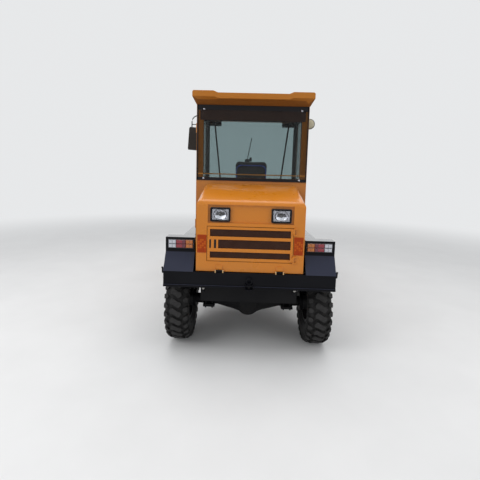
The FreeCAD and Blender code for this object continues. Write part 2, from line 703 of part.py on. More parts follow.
def cab_front():
    """Sill, corner pillars and header in one piece, with two slim mullions across the window."""
    whole = front_slab(CAB_POST, CAB_FLOOR, CAB_WALL_TOP, CAB_HALF)
    half = CAB_HALF - CAB_PILLAR
    window = box(-half, half, CAB_FRONT_HIGH - 2 * CAB_POST, CAB_FRONT_LOW + 1, SCREEN_BOTTOM, SCREEN_TOP)
    w = MULLION_WIDTH / 2
    low, high = SCREEN_BOTTOM - 1, SCREEN_TOP + 1
    leaning = prism([
        (MULLION_LOW - w, low), (MULLION_LOW + w, low), (MULLION_HIGH + w, high), (MULLION_HIGH - w, high),
    ], CAB_FRONT_HIGH - CAB_POST, CAB_FRONT_LOW + 1, "s")
    mullion = leaning.common(front_slab(25, low, high, CAB_HALF))
    return fuse([whole.cut(window)] + both([mullion]))


def side_outline(gap, low, high, front_gap):
    rear = CAB_REAR + CAB_POST + gap
    return [
        (rear, low), (cab_front_s(low) - CAB_POST - front_gap, low),
        (cab_front_s(high) - CAB_POST - front_gap, high), (rear, high),
    ]


def side_panel(gap, low, high, x0, x1):
    panel = prism(side_outline(gap, low, high, gap), x0, x1, "x")
    window = prism(side_outline(SIDE_HEAD, low + SIDE_SILL, high - SIDE_HEAD, SIDE_HEAD), x0 - 1, x1 + 1, "x")
    return panel.cut(window)


def cab_side_right():
    return side_panel(0, CAB_FLOOR, CAB_WALL_TOP, CAB_HALF - CAB_WALL, CAB_HALF)


def door_left():
    parts = [side_panel(MOVING_GAP, DOOR_BOTTOM, CAB_WALL_TOP - MOVING_GAP, -CAB_HALF, -CAB_HALF + CAB_WALL)]
    x, s, half = DOOR_HINGE_X, DOOR_HINGE_S, DOOR_HINGE_HALF
    for z in DOOR_HINGES:
        way = rod((x, s, z), Z_AXIS, -half - 1, half + 1, HINGE_PIN + PIN_GAP)
        leaf = box(x, -CAB_HALF + 5, s, s + 34, z - half, z + half)
        parts += [leaf.cut(way), knuckle((x, s, z), Z_AXIS, half, HINGE_BARREL, HINGE_PIN)]
    handle_z = CAB_FLOOR + 620
    handle_s = cab_front_s(handle_z) - CAB_POST - 26
    parts.append(box(-CAB_HALF - 30, -CAB_HALF - 18, handle_s - 12, handle_s + 12, handle_z, handle_z + 140))
    for z in (handle_z, handle_z + 125):
        parts.append(box(-CAB_HALF - 19, -CAB_HALF + 1, handle_s - 12, handle_s + 12, z, z + 15))
    return fuse(parts)


def rectangle(half, s0, s1, z):
    corners = [Vector(-half, s0, z), Vector(half, s0, z), Vector(half, s1, z), Vector(-half, s1, z)]
    return Part.makePolygon(corners + corners[:1])


def roof_volume():
    """A cap with a shallow channel along its middle, on a soffit that tapers in to the walls."""
    soffit = Part.makeLoft([
        rectangle(CAB_HALF + 3, CAB_REAR - GLASS, CAB_FRONT_HIGH + GLASS, CAB_WALL_TOP),
        rectangle(ROOF_HALF, ROOF_REAR, ROOF_FRONT, ROOF_LIP),
    ], True, True)
    top = ROOF_LIP + ROOF_FASCIA
    inner, outer = ROOF_DIP_HALF
    middle = top - ROOF_DIP
    outline = [
        (-ROOF_HALF, ROOF_LIP), (ROOF_HALF, ROOF_LIP), (ROOF_HALF, top - 12), (ROOF_HALF - 14, top),
        (outer, top), (inner, middle), (-inner, middle), (-outer, top), (-ROOF_HALF + 14, top),
        (-ROOF_HALF, top - 12),
    ]
    return fuse([soffit, prism(outline, ROOF_REAR, ROOF_FRONT, "s")])


def cab_roof():
    inset = ROOF_INSIDE
    hollow = box(-CAB_HALF + inset, CAB_HALF - inset, CAB_REAR + inset, CAB_FRONT_HIGH - inset,
                 CAB_WALL_TOP - 1, ROOF_LIP + 10)
    return roof_volume().cut(hollow)


def cab_glass():
    rear = box(-CAB_HALF + 4, CAB_HALF - 4, CAB_REAR - GLASS, CAB_REAR, REAR_GLASS_BOTTOM, CAB_WALL_TOP - 2)
    low, high = SCREEN_BOTTOM - GLASS_LAP, CAB_WALL_TOP - 2
    ahead = Vector(0, GLASS, 0)
    screen = front_slab(GLASS, low, high, CAB_HALF - 8)
    screen.translate(ahead)
    lap = SIDE_HEAD - GLASS_LAP
    outline = side_outline(lap, CAB_FLOOR + SIDE_SILL - GLASS_LAP, CAB_WALL_TOP - lap, lap)
    return Part.makeCompound([rear, screen, prism(outline, CAB_HALF, CAB_HALF + GLASS, "x")])


def door_glass():
    lap = SIDE_HEAD - GLASS_LAP
    low = DOOR_BOTTOM + SIDE_SILL - GLASS_LAP
    outline = side_outline(lap, low, CAB_WALL_TOP - MOVING_GAP - lap, lap)
    return prism(outline, -CAB_HALF - GLASS, -CAB_HALF, "x")


def front_lamps():
    """Lamp boxes that hang from the soffit at the cab's front corners."""
    x0, x1 = FRONT_LAMP_X
    s0, s1 = FRONT_LAMP_S
    low, high = (CAB_WALL_TOP - drop for drop in FRONT_LAMP_DROP)
    housing = filleted(box(x0, x1, s0, s1, low, high), 10, lambda e: e.BoundBox.YLength > 30)
    middle = (x0 + x1) / 2
    bracket = box(middle - 20, middle + 20, s0 + 15, s1 - 15, high - 1, ROOF_LIP).cut(roof_volume())
    return pair(fuse([housing, bracket]))


def mirrors():
    """A tall mirror on the left and a round one on the right, on arms from the roof's sides."""
    s0, s1 = MIRROR_S, MIRROR_S + MIRROR_DEPTH
    mid = (s0 + s1) / 2
    foot_z = ROOF_LIP + ROOF_FASCIA / 2
    foot_s = ROOF_FRONT - 60
    low, high = CAB_WALL_TOP - 415, CAB_WALL_TOP - 145
    side = -ROOF_HALF
    left = prism([(side - 242, low), (side - 132, low - 10), (side - 97, high), (side - 262, high)], s0, s1, "s")
    left = filleted(left, 12, lambda e: e.BoundBox.YLength > 30)
    foot = box(side - 12, side, foot_s - 20, foot_s + 20, foot_z - 20, foot_z + 20)
    bend = (side - 192, mid, foot_z - 20)
    start = ROOF_HALF + 7
    left_arm = [
        bar((-start, foot_s, foot_z), bend, MIRROR_ARM),
        Part.makeSphere(MIRROR_ARM, Vector(*bend)),
        bar(bend, (bend[0], mid, high - 5), MIRROR_ARM),
    ]
    centre = (ROOF_HALF + 207, mid, CAB_WALL_TOP - 20)
    right = rod(centre, S_AXIS, -18, 22, ROUND_MIRROR)
    right = filleted(right, 14, lambda e: e.CenterOfMass.y < mid)
    right_arm = bar((start, foot_s, foot_z), (centre[0] - 40, mid, centre[2] + 40), MIRROR_ARM)
    return Part.makeCompound([fuse([left, foot] + left_arm), fuse([right, mirrored(foot), right_arm])])


# Inside the cab


def seat_base():
    low = SEAT_TOP - SEAT_PAD
    pedestal = box(-190, 190, SEAT_REAR + 5, SEAT_REAR + SEAT_DEPTH - 60, CAB_FLOOR, low - 30)
    slides = box(-210, 210, SEAT_REAR - 15, SEAT_REAR + SEAT_DEPTH - 40, low - 30, low)
    return fuse([pedestal, slides])


def seat_cushion():
    pad = box(-SEAT_HALF, SEAT_HALF, SEAT_REAR, SEAT_REAR + SEAT_DEPTH, SEAT_TOP - SEAT_PAD + FIT_GAP, SEAT_TOP)
    return filleted(pad, 25, lambda e: True)


def seat_back():
    """A pad with round upper corners, leant back and flat where it meets the cushion."""
    sunk = 40
    pad = box(-BACK_HALF, BACK_HALF, 0, BACK_THICKNESS, -sunk, BACK_HEIGHT)
    pad = filleted(pad, BACK_CORNER, lambda e: e.BoundBox.YLength > 10 and e.CenterOfMass.z > 0)
    pad = filleted(pad, 15, lambda e: e.BoundBox.ZMin > -sunk + 1 or e.BoundBox.ZLength > BACK_HEIGHT / 2)
    pad.rotate(Vector(0, 0, 0), X_AXIS, BACK_LEAN)
    low = SEAT_TOP + FIT_GAP
    pad.translate(Vector(0, SEAT_REAR + 10, low))
    under = box(-SEAT_HALF, SEAT_HALF, SEAT_REAR - 100, SEAT_REAR + 200, low - 100, low)
    return pad.cut(under)


def steering_column():
    lean = math.radians(COLUMN_LEAN)
    up = Vector(0, -math.sin(lean), math.cos(lean))
    foot = Vector(0, COLUMN_FOOT_S, CAB_FLOOR + 40)
    boot = box(-70, 70, COLUMN_FOOT_S - 60, COLUMN_FOOT_S + 55, CAB_FLOOR, CAB_FLOOR + 60)
    column = Part.makeCylinder(COLUMN_RADIUS, COLUMN_HEIGHT, foot, up)
    hub_at = foot + up * COLUMN_HEIGHT
    hub = Part.makeCylinder(30, 55, hub_at, up)
    major, minor = STEERING_WHEEL
    centre = hub_at + up * 40
    wheel = Part.makeTorus(major, minor, centre, up)
    along = Vector(0, math.cos(lean), math.sin(lean))
    spokes = []
    for turn in (0, 120, 240):
        a = math.radians(turn)
        run = X_AXIS * math.sin(a) + along * math.cos(a)
        spokes.append(Part.makeCylinder(9, major, centre, run))
    return fuse([boot, column, hub, wheel] + spokes)


def side_tanks():
    """The fuel and oil tanks, each with a toe hole for climbing up and a filler neck."""
    tank = box(RAIL_OUTER, TANK_OUTER, TANK_REAR, TANK_FRONT, TANK_BOTTOM, DECK)
    tank = filleted(tank, 25, lambda e: e.BoundBox.XMin > TANK_OUTER - 1 or e.BoundBox.YLength > 400)
    low, high = TOE_HOLE
    middle = (TANK_REAR + TANK_FRONT) / 2
    toe = box(TANK_OUTER - 110, TANK_OUTER + 20, middle - 105, middle + 105, low, high)
    toe = filleted(toe, 15, lambda e: e.BoundBox.XLength > 100)
    neck = bar((TANK_OUTER - 20, TANK_FRONT - 60, DECK - 75), (TANK_OUTER + 28, TANK_FRONT - 60, DECK - 40), 24)
    return pair(fuse([tank.cut(toe), neck]))


# Running gear


def axle(s, nose):
    """A drive axle: nose is +1 or -1, the way the drive shaft comes in along s."""
    half = [
        (70, BANJO_RADIUS), (150, BANJO_RADIUS - 30), (330, TUBE_RADIUS + 5), (HUB_FACE - 30, TUBE_RADIUS - 3),
        (HUB_FACE - 30, 95), (HUB_FACE, 95),
    ]
    outline = [(-HUB_FACE, 0)] + [(-x, r) for x, r in reversed(half)] + half + [(HUB_FACE, 0)]
    tube = turned(outline, (0, s, TYRE_RADIUS))
    cover = turned([(0, BANJO_RADIUS - 15), (BANJO_RADIUS, BANJO_RADIUS - 15), (160, 80), (160, 0), (0, 0)],
                   (0, 0, 0), False)
    if nose > 0:
        cover.rotate(Vector(0, 0, 0), Z_AXIS, 180)
    cover.translate(Vector(0, s, TYRE_RADIUS))
    drive_z = TYRE_RADIUS + 15
    snout = bar((0, s, drive_z), (0, s + nose * SNOUT_REACH, drive_z), 55)
    pad = SPRING_PAD
    seat = [
        box(RAIL_X - 35, RAIL_X + 35, s - pad, s + pad, TYRE_RADIUS - 40, RAIL_BOTTOM),
        box(RAIL_X - 62, RAIL_X + 62, s - UBOLT_S - 15, s + UBOLT_S + 15, RAIL_BOTTOM - 14, RAIL_BOTTOM),
        box(RAIL_X - 62, RAIL_X + 62, s - UBOLT_S - 15, s + UBOLT_S + 15, TYRE_RADIUS - 66, TYRE_RADIUS - 40),
    ]
    for dx in (-UBOLT_X, UBOLT_X):
        for ds in (-UBOLT_S, UBOLT_S):
            seat.append(bar((RAIL_X + dx, s + ds, TYRE_RADIUS - UBOLT_DROP), (RAIL_X + dx, s + ds, RAIL_BOTTOM - 1),
                            UBOLT_RADIUS))
    return fuse([tube, cover, snout] + both(seat))


def prop_shaft_rear():
    start = BEARER_S + BEARER_LENGTH + 30
    cross = bar((0, PIVOT_S, PROP_Z - 34), (0, PIVOT_S, PROP_Z + 34), 28)
    shaft = bar((0, start, PROP_Z), (0, PIVOT_S - 10, PROP_Z), PROP_RADIUS)
    flange = bar((0, start, PROP_Z), (0, start + 20, PROP_Z), 38)
    return fuse([flange, shaft, cross])


def prop_shaft_front():
    """The shaft from the joint at the centre pivot down to the front axle's nose."""
    end_s = FRONT_AXLE_S - SNOUT_REACH
    end_z = TYRE_RADIUS + 15
    parts = [
        bar((0, end_s - 16, end_z), (0, end_s, end_z), 42),
        bar((0, PIVOT_S + 70, PROP_Z - 16), (0, end_s - 10, end_z), PROP_RADIUS),
        box(-28, 28, PIVOT_S + 45, PIVOT_S + 75, PROP_Z - 50, PROP_Z + 50),
    ]
    for z in (PROP_Z - 50, PROP_Z + 38):
        parts.append(eye_plate((0, PIVOT_S), 28, (-28, 28, PIVOT_S + 60), z, z + 12))
    return fuse(parts)


def tread_block(outline, angle):
    """A block of tread drawn as (across, along) on the crown and turned round the wheel."""
    low = TYRE_RADIUS - TREAD_DEPTH - 12
    block = prism(outline, low, TYRE_RADIUS + 6, "z")
    block.rotate(Vector(0, 0, 0), X_AXIS, angle)
    return block


# Half widths and radii of the tyre's carcass, from the bead to the crown, on the right side
CARCASS = [
    (BEAD_SPACE / 2, BEAD_RADIUS), (BEAD_SPACE / 2, BEAD_RADIUS + 14), (TYRE_WIDTH / 2 - 9, BEAD_RADIUS + 45),
    (TYRE_WIDTH / 2 - 1, BEAD_RADIUS + 90), (TYRE_WIDTH / 2 - 1, BEAD_RADIUS + 125),
    (TYRE_WIDTH / 2 - 8, TYRE_RADIUS - 48), (TYRE_WIDTH / 2 - 22, TYRE_RADIUS - TREAD_DEPTH - 6),
    (50.0, TYRE_RADIUS - TREAD_DEPTH),
]
# The surface that the tread's blocks reach
CROWN = [
    (TYRE_WIDTH / 2, TYRE_RADIUS - 60), (TYRE_WIDTH / 2, TYRE_RADIUS - 22), (TYRE_WIDTH / 2 - 16, TYRE_RADIUS - 3),
    (70.0, TYRE_RADIUS),
]
# Outlines of one pitch's blocks: the crown's hooked bar, and the shoulder's wedge on the right
CENTRE_BLOCK = [
    (-33.0, 53.0), (-62.0, 18.0), (-52.0, -10.0), (-29.0, -12.0), (33.0, -53.0), (62.0, -18.0), (52.0, 10.0),
    (29.0, 12.0),
]
SHOULDER_BLOCK = [(72.0, 30.0), (86.0, 6.0), (125.0, 4.0), (125.0, 56.0), (88.0, 52.0)]


def tyre():
    sides = [(-a, r) for a, r in reversed(CARCASS)]
    carcass = turned(CARCASS + sides, (0, 0, 0))
    crown = turned(CROWN + [(-a, r) for a, r in reversed(CROWN)], (0, 0, 0))
    pitch = 360 / TREAD_PITCHES
    far_shoulder = [(-a, -b) for a, b in SHOULDER_BLOCK]
    blocks = []
    for i in range(TREAD_PITCHES):
        for outline in (CENTRE_BLOCK, SHOULDER_BLOCK, far_shoulder):
            blocks.append(tread_block(outline, i * pitch))
    tread = crown.common(Part.makeCompound(blocks))
    return carcass.fuse(tread.Solids)


def rim():
    """A dished disc wheel with hand holes and its nuts."""
    r = BEAD_RADIUS - FIT_GAP
    lip = BEAD_SPACE / 2 + FIT_GAP
    hub_in = TRACK / 2 - HUB_FACE
    disc = turned([
        (-lip - 8, r + 12), (-lip, r + 12), (-lip, r), (lip, r), (lip, r + 12), (lip + 8, r + 12),
        (lip + 8, r - 12), (12, r - 14), (8, 95), (30, 90), (38, 45), (38, 0), (-hub_in, 0), (-hub_in, 85),
        (-25, 85), (-4, 92), (0, r - 14), (-lip - 8, r - 12),
    ], (0, 0, 0))
    for i in range(WHEEL_NUTS):
        turn = i * 360 / WHEEL_NUTS
        hole = rod((0, 0, 140), X_AXIS, -20, 30, 22)
        nut = rod((0, 0, NUT_CIRCLE), X_AXIS, 20, 46, 11)
        hole.rotate(Vector(0, 0, 0), X_AXIS, turn)
        nut.rotate(Vector(0, 0, 0), X_AXIS, turn)
        disc = disc.cut(hole).fuse(nut)
    return disc


# Front unit


def front_frame():
    parts = both([rail(FRONT_RAIL_START, FRONT_RAIL_END)])
    low_ear = YOKE_BOTTOM + YOKE_PLATE + YOKE_GAP
    high_ear = YOKE_TOP - 2 * YOKE_PLATE - YOKE_GAP
    neck = NECK_START
    for z in (low_ear, high_ear):
        foot = (-110, 110, neck + 10)
        parts.append(eye_plate((0, PIVOT_S), PIVOT_EAR_RADIUS, foot, z, z + YOKE_PLATE))
    parts.append(box(-200, 200, neck, neck + 70, low_ear, high_ear + YOKE_PLATE))
    parts.append(prism([
        (-200, neck + 30), (200, neck + 30), (RAIL_OUTER, neck + 160), (RAIL_OUTER, FRONT_RAIL_START + 30),
        (-RAIL_OUTER, FRONT_RAIL_START + 30), (-RAIL_OUTER, neck + 160),
    ], RAIL_BOTTOM, RAIL_TOP - RAIL_WALL, "z"))
    parts.append(box(-RAIL_OUTER, RAIL_OUTER, FRONT_RAIL_END - CROSS_LENGTH, FRONT_RAIL_END,
                     RAIL_BOTTOM, RAIL_BOTTOM + 80))
    ram_s, ram_z = RAM_BASE
    parts.append(box(-RAIL_OUTER, RAIL_OUTER, ram_s - 110, ram_s - 50, RAIL_BOTTOM, ram_z + 60))
    near, far = RAM_LUG
    parts += both([box(near, far, ram_s - 60, ram_s + 30, ram_z - 30, ram_z + 30)])
    parts.append(bar((-far - 4, ram_s, ram_z), (far + 4, ram_s, ram_z), 15))
    tip_s, tip_z = TIP_PIVOT
    x0, x1 = TIP_EAR
    ear = [
        box(x0, x1, tip_s - TIP_EAR_RADIUS, tip_s + TIP_EAR_RADIUS, RAIL_TOP - 5, tip_z),
        bar((x0, tip_s, tip_z), (x1, tip_s, tip_z), TIP_EAR_RADIUS),
        bar((TIP_LUG[0] - 12, tip_s, tip_z), (x1 + 10, tip_s, tip_z), TIP_PIN_RADIUS),
    ]
    stand = box(RAIL_X - 35, RAIL_X + 35, STAND_S[0], STAND_S[1], RAIL_TOP - 5, SKIP_FLOOR - 2 * FIT_GAP)
    x, s = STEER_EYE
    lugs = steer_lugs((x, s), (x - 26, x + 26, neck + 5))
    frame = fuse(parts + both(ear + [stand] + lugs))
    drop = (PROP_Z - TYRE_RADIUS) / (FRONT_AXLE_S - SNOUT_REACH - PIVOT_S)
    mid = lambda s: PROP_Z - drop * (s - PIVOT_S)
    room = PROP_RADIUS + PROP_ROOM + 5
    s0, s1 = neck - 50, FRONT_RAIL_START + 80
    shaft_way = prism([
        (s0, mid(s0) - room), (s0, mid(s0) + room), (s1, mid(s1) + room), (s1, mid(s1) - room),
    ], -PROP_RADIUS - PROP_ROOM, PROP_RADIUS + PROP_ROOM, "x")
    frame = frame.cut(shaft_way)
    for z in (low_ear, high_ear):
        bore = rod((0, PIVOT_S, z), Z_AXIS, -1, YOKE_PLATE + 1, PIVOT_PIN_RADIUS + PIN_GAP)
        frame = frame.cut(bore)
    return frame


def skip_volume(t, z_top):
    """The skip's outside, or its hollow when t is the wall, or its rim's outside when t is below zero."""
    low = SKIP_FLOOR
    nose = low + SKIP_NOSE_UP
    side = prism([
        (SKIP_REAR_LOW + t, low + t), (SKIP_FLOOR_END, low + t), (SKIP_FRONT - t, nose + t),
        (SKIP_FRONT - t, nose + SKIP_NOSE_LIP + (2 if t > 0 else 0)), (SKIP_SIDE_END, z_top),
        (SKIP_REAR_TOP + t, z_top), (SKIP_REAR_TOP + t, low + SKIP_KNEE_UP),
    ], -SKIP_HALF - 50, SKIP_HALF + 50, "x")
    half = SKIP_HALF - t
    across, along = SKIP_CHAMFER
    nose_across, nose_along = SKIP_NOSE_CHAMFER
    rear = SKIP_REAR_TOP + t - 2
    front = SKIP_FRONT + 2
    right = [(half - across, rear), (half, SKIP_REAR_TOP + along), (half, SKIP_FRONT - nose_along),
             (half - nose_across, front)]
    plan = prism(right + [(-x, s) for x, s in reversed(right)], low - 100, z_top + 10, "z")
    return side.common(plan)


def skip():
    shell = skip_volume(0, SKIP_RIM).cut(skip_volume(SKIP_WALL, SKIP_RIM + 1))
    reach = SKIP_HALF + 2 * RIM_TUBE
    band = box(-reach, reach, SKIP_REAR_TOP - 50, SKIP_SIDE_END, SKIP_RIM - RIM_HEIGHT, SKIP_RIM)
    rim_tube = skip_volume(-RIM_TUBE, SKIP_RIM).common(band).cut(skip_volume(0, SKIP_RIM + 1))
    parts = [shell, rim_tube]
    tip_s, tip_z = TIP_PIVOT
    x0, x1 = TIP_LUG
    lug = fuse([
        prism([(tip_s - 120, SKIP_FLOOR + 4), (tip_s + 120, SKIP_FLOOR + 4), (tip_s + 43, tip_z - 8),
               (tip_s - 43, tip_z - 8)], x0, x1, "x"),
        bar((x0, tip_s, tip_z), (x1, tip_s, tip_z), TIP_EAR_RADIUS - 1),
    ])
    lug = lug.cut(bar((x0 - 1, tip_s, tip_z), (x1 + 1, tip_s, tip_z), TIP_PIN_RADIUS + PIN_GAP))
    eye_s, eye_z = RAM_EYE
    near, far = RAM_LUG
    ram_lug = prism([(eye_s - 60, SKIP_FLOOR + 4), (eye_s + 60, SKIP_FLOOR + 4),
                     (eye_s + 25, eye_z - 25), (eye_s - 25, eye_z - 25)], near, far, "x")
    bearer = box(230, 230 + RIB_WIDTH, SKIP_REAR_LOW + 60, SKIP_FLOOR_END - 60, SKIP_FLOOR - 30, SKIP_FLOOR + 1)
    ribs = [
        box(SKIP_HALF - 1, SKIP_HALF + RIB_DEPTH, s, s + RIB_WIDTH, SKIP_FLOOR + 30, SKIP_RIM - 10)
        for s in SKIP_RIBS
    ]
    return fuse(parts + both([lug, ram_lug, bearer] + ribs))


def ram(base, eye, barrel_radius, rod_radius, eye_half, base_pin, closed, neck, upright):
    """A hydraulic ram from base to eye: its barrel with an eye at the base, and its rod with the far eye."""
    start = Vector(*base)
    run = Vector(*eye) - start
    way = run * (1 / run.Length)
    pin_way = Z_AXIS if upright else X_AXIS

    def along(low, high, radius):
        return Part.makeCylinder(radius, high - low, start + way * low, way)

    def across(distance, radius, half):
        return Part.makeCylinder(radius, 2 * half, start + way * distance - pin_way * half, pin_way)

    end = closed - 55
    tube = along(neck, end, barrel_radius).cut(along(neck + 15, end + 1, rod_radius + 6))
    gland = along(end - 30, end, barrel_radius + 3)
    gland = gland.cut(along(end - 31, end + 1, rod_radius + FIT_GAP))
    barrel = fuse([tube, gland, along(base_pin + 4, neck + 1, eye_half - 2), across(0, base_pin + 14, eye_half)])
    barrel = barrel.cut(across(0, base_pin + PIN_GAP, eye_half + 1))
    reach = run.Length
    eye_ring = across(reach, base_pin + 14, eye_half)
    piston_rod = along(reach - closed + neck + 20, reach - base_pin - 2, rod_radius)
    return barrel, fuse([piston_rod, eye_ring]).cut(across(reach, base_pin, eye_half + 1))


def steer_closed():
    """The steering ram's shortest length, where the front unit is turned fully towards it."""
    turn = math.radians(-STEER_LIMIT)
    x, s = STEER_EYE[0], STEER_EYE[1] - PIVOT_S
    eye = (x * math.cos(turn) - s * math.sin(turn), PIVOT_S + x * math.sin(turn) + s * math.cos(turn))
    return math.dist(STEER_BASE, eye)


def build():
    steer_base = STEER_BASE + (STEER_Z,)
    steer_eye = STEER_EYE + (STEER_Z,)
    steer_barrel, steer_rod = ram(steer_base, steer_eye, 32, 15, 13, 12, steer_closed(), 40, True)
    tip_closed = math.dist(RAM_BASE, RAM_EYE)
    tip_barrel, tip_rod = ram((0,) + RAM_BASE, (0,) + RAM_EYE, 48, 24, 26, 15, tip_closed, 58, False)
    nodes = {
        "rear_frame": rear_frame(),
        "bumper": bumper(),
        "tow_jaw": tow_jaw(),
        "rear_fenders": rear_fenders(),
        "tail_lamps": tail_lamps(),
        "engine": engine(),
        "radiator": radiator(),
        "hood": hood(),
        "grille_door": grille_door(),
        "grille_mesh": grille_mesh(),
        "headlamps": headlamps(),
        "side_reflectors": side_reflectors(),
        "cab_floor": cab_floor(),
        "cab_rear": cab_rear(),
        "cab_front": cab_front(),
        "cab_side_right": cab_side_right(),
        "cab_roof": cab_roof(),
        "cab_glass": cab_glass(),
        "door_left": door_left(),
        "door_glass": door_glass(),
        "front_lamps": front_lamps(),
        "seat_base": seat_base(),
        "seat_cushion": seat_cushion(),
        "seat_back": seat_back(),
        "steering_column": steering_column(),
        "mirrors": mirrors(),
        "side_tanks": side_tanks(),
        "rear_axle": axle(REAR_AXLE_S, 1),
        "front_axle": axle(FRONT_AXLE_S, -1),
        "prop_shaft_rear": prop_shaft_rear(),
        "prop_shaft_front": prop_shaft_front(),
        "front_frame": front_frame(),
        "skip": skip(),
        "tip_barrel": tip_barrel,
        "tip_rod": tip_rod,
        "steer_barrel_right": steer_barrel,
        "steer_rod_right": steer_rod,
        "steer_barrel_left": mirrored(steer_barrel),
        "steer_rod_left": mirrored(steer_rod),
    }
    tread = tyre()
    disc = rim()
    for end, s in (("rear", REAR_AXLE_S), ("front", FRONT_AXLE_S)):
        for hand, side in (("left", -1), ("right", 1)):
            centre = Vector(side * TRACK / 2, s, TYRE_RADIUS)
            for name, shape in (("tyre", tread), ("rim", disc if side > 0 else mirrored(disc))):
                placed = shape.copy()
                placed.translate(centre)
                nodes["%s_%s_%s" % (name, end, hand)] = placed
    return nodes


MIDDLE_S = (SKIP_FRONT - TOW_REACH) / 2
os.makedirs("parts", exist_ok=True)
for name, shape in build().items():
    placed = shape.copy()
    placed.translate(Vector(0, -MIDDLE_S, 0))
    placed.exportStep("parts/%s.step" % name)
    sound = placed.isValid() and all(s.Volume > 0 for s in placed.Solids)
    print(name, len(placed.Solids), "ok" if sound else "UNSOUND", round(placed.Volume / 1e6, 2))
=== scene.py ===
import json
import math

import bmesh
import bpy
from mathutils import Matrix, Vector
from mathutils.bvhtree import BVHTree

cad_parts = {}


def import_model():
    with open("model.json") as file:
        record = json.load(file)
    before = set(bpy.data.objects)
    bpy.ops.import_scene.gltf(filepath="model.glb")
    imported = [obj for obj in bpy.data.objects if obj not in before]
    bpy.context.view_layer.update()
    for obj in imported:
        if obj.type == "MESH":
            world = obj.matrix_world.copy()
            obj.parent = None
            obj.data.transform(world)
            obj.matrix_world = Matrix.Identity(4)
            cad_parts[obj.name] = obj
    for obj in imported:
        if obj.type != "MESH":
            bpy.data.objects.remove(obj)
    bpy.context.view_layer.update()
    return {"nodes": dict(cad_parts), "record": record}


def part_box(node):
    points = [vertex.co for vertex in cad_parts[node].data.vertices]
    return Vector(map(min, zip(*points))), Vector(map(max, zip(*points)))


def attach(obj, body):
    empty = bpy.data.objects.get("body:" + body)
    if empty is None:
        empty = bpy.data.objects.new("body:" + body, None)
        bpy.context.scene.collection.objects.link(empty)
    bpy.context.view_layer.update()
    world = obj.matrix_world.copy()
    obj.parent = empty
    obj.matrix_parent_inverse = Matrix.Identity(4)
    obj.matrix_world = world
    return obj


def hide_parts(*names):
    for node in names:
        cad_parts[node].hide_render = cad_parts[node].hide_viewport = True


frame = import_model()

# Stations run forward from the bumper's rear face, in metres
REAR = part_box("bumper")[0].y
X = Vector((1, 0, 0))
S = Vector((0, 1, 0))
Z = Vector((0, 0, 1))
WHEELS = {
    "rear_left": "tyre_rear_left",
    "rear_right": "tyre_rear_right",
    "front_left": "tyre_front_left",
    "front_right": "tyre_front_right",
}
BOTH = (-1, 1)


def at(x, s, z):
    return Vector((x, REAR + s, z))


# Materials

MM = 0.001
# Specular level of a plain dielectric
EVEN = 0.5


def material(name):
    m = bpy.data.materials.new(name)
    m.use_nodes = True
    m.node_tree.nodes.clear()
    return m, m.node_tree.nodes, m.node_tree.links


def add_node(nodes, kind, **constants):
    """A shader node with constants on its sockets."""
    node = nodes.new("ShaderNode" + kind)
    for key, value in constants.items():
        node.inputs[key.replace("_", " ")].default_value = value
    return node


def shader(nodes, links, **constants):
    bsdf = add_node(nodes, "BsdfPrincipled", **constants)
    links.new(bsdf.outputs[0], add_node(nodes, "OutputMaterial").inputs[0])
    return bsdf


def placed(nodes, links, tex):
    links.new(add_node(nodes, "TexCoord").outputs["Object"], tex.inputs["Vector"])
    return tex.outputs["Fac"]


def noise(nodes, links, scale, detail=4.0, rough=0.55):
    return placed(nodes, links, add_node(nodes, "TexNoise", Scale=scale, Detail=detail, Roughness=rough))


def ramp(nodes, links, fac, stops):
    r = add_node(nodes, "ValToRGB")
    for e, (pos, col) in zip(r.color_ramp.elements, stops):
        e.position = pos
        e.color = (*col, 1.0)
    links.new(fac, r.inputs[0])
    return r.outputs[0]


def grey(v):
    return (v, v, v)


def bump(nodes, links, bsdf, fac, strength, distance):
    b = add_node(nodes, "Bump", Strength=strength, Distance=distance)
    links.new(fac, b.inputs["Height"])
    links.new(b.outputs[0], bsdf.inputs["Normal"])


def paint(name, clean, dusty, low_rough, high_rough, coat, specular, peel=0.12):
    """Sprayed paint: faint cloudiness and dust, orange peel and a clear gloss."""
    m, nodes, links = material(name)
    bsdf = shader(nodes, links, Specular_IOR_Level=specular, Coat_Weight=coat, Coat_Roughness=0.05)
    cloud = noise(nodes, links, 2.2, 1.5, 0.5)
    links.new(ramp(nodes, links, cloud, [(0.4, clean), (0.85, dusty)]), bsdf.inputs["Base Color"])
    patchy = noise(nodes, links, 7.0, 1.5, 0.5)
    roughs = [(0.3, grey(low_rough)), (0.75, grey(high_rough))]
    links.new(ramp(nodes, links, patchy, roughs), bsdf.inputs["Roughness"])
    bump(nodes, links, bsdf, noise(nodes, links, 150.0, 1.0), 0.15, peel * MM)
    return m


def plain(name, dark, light, rough, specular, scale, depth, strength, metallic=0.0):
    """A surface of two close colours with a fine grain."""
    m, nodes, links = material(name)
    bsdf = shader(nodes, links, Metallic=metallic, Specular_IOR_Level=specular)
    fac = noise(nodes, links, scale, 5.0, 0.6)
    links.new(ramp(nodes, links, fac, [(0.3, dark), (0.75, light)]), bsdf.inputs["Base Color"])
    wide = noise(nodes, links, 9.0, 4.0)
    roughs = [(0.3, grey(rough * 0.85)), (0.7, grey(min(1.0, rough * 1.2)))]
    links.new(ramp(nodes, links, wide, roughs), bsdf.inputs["Roughness"])
    bump(nodes, links, bsdf, fac, strength, depth * MM)
    return m


def metal(name, dark, light, rough, metallic, scale, depth, strength):
    return plain(name, dark, light, rough, EVEN, scale, depth, strength, metallic)


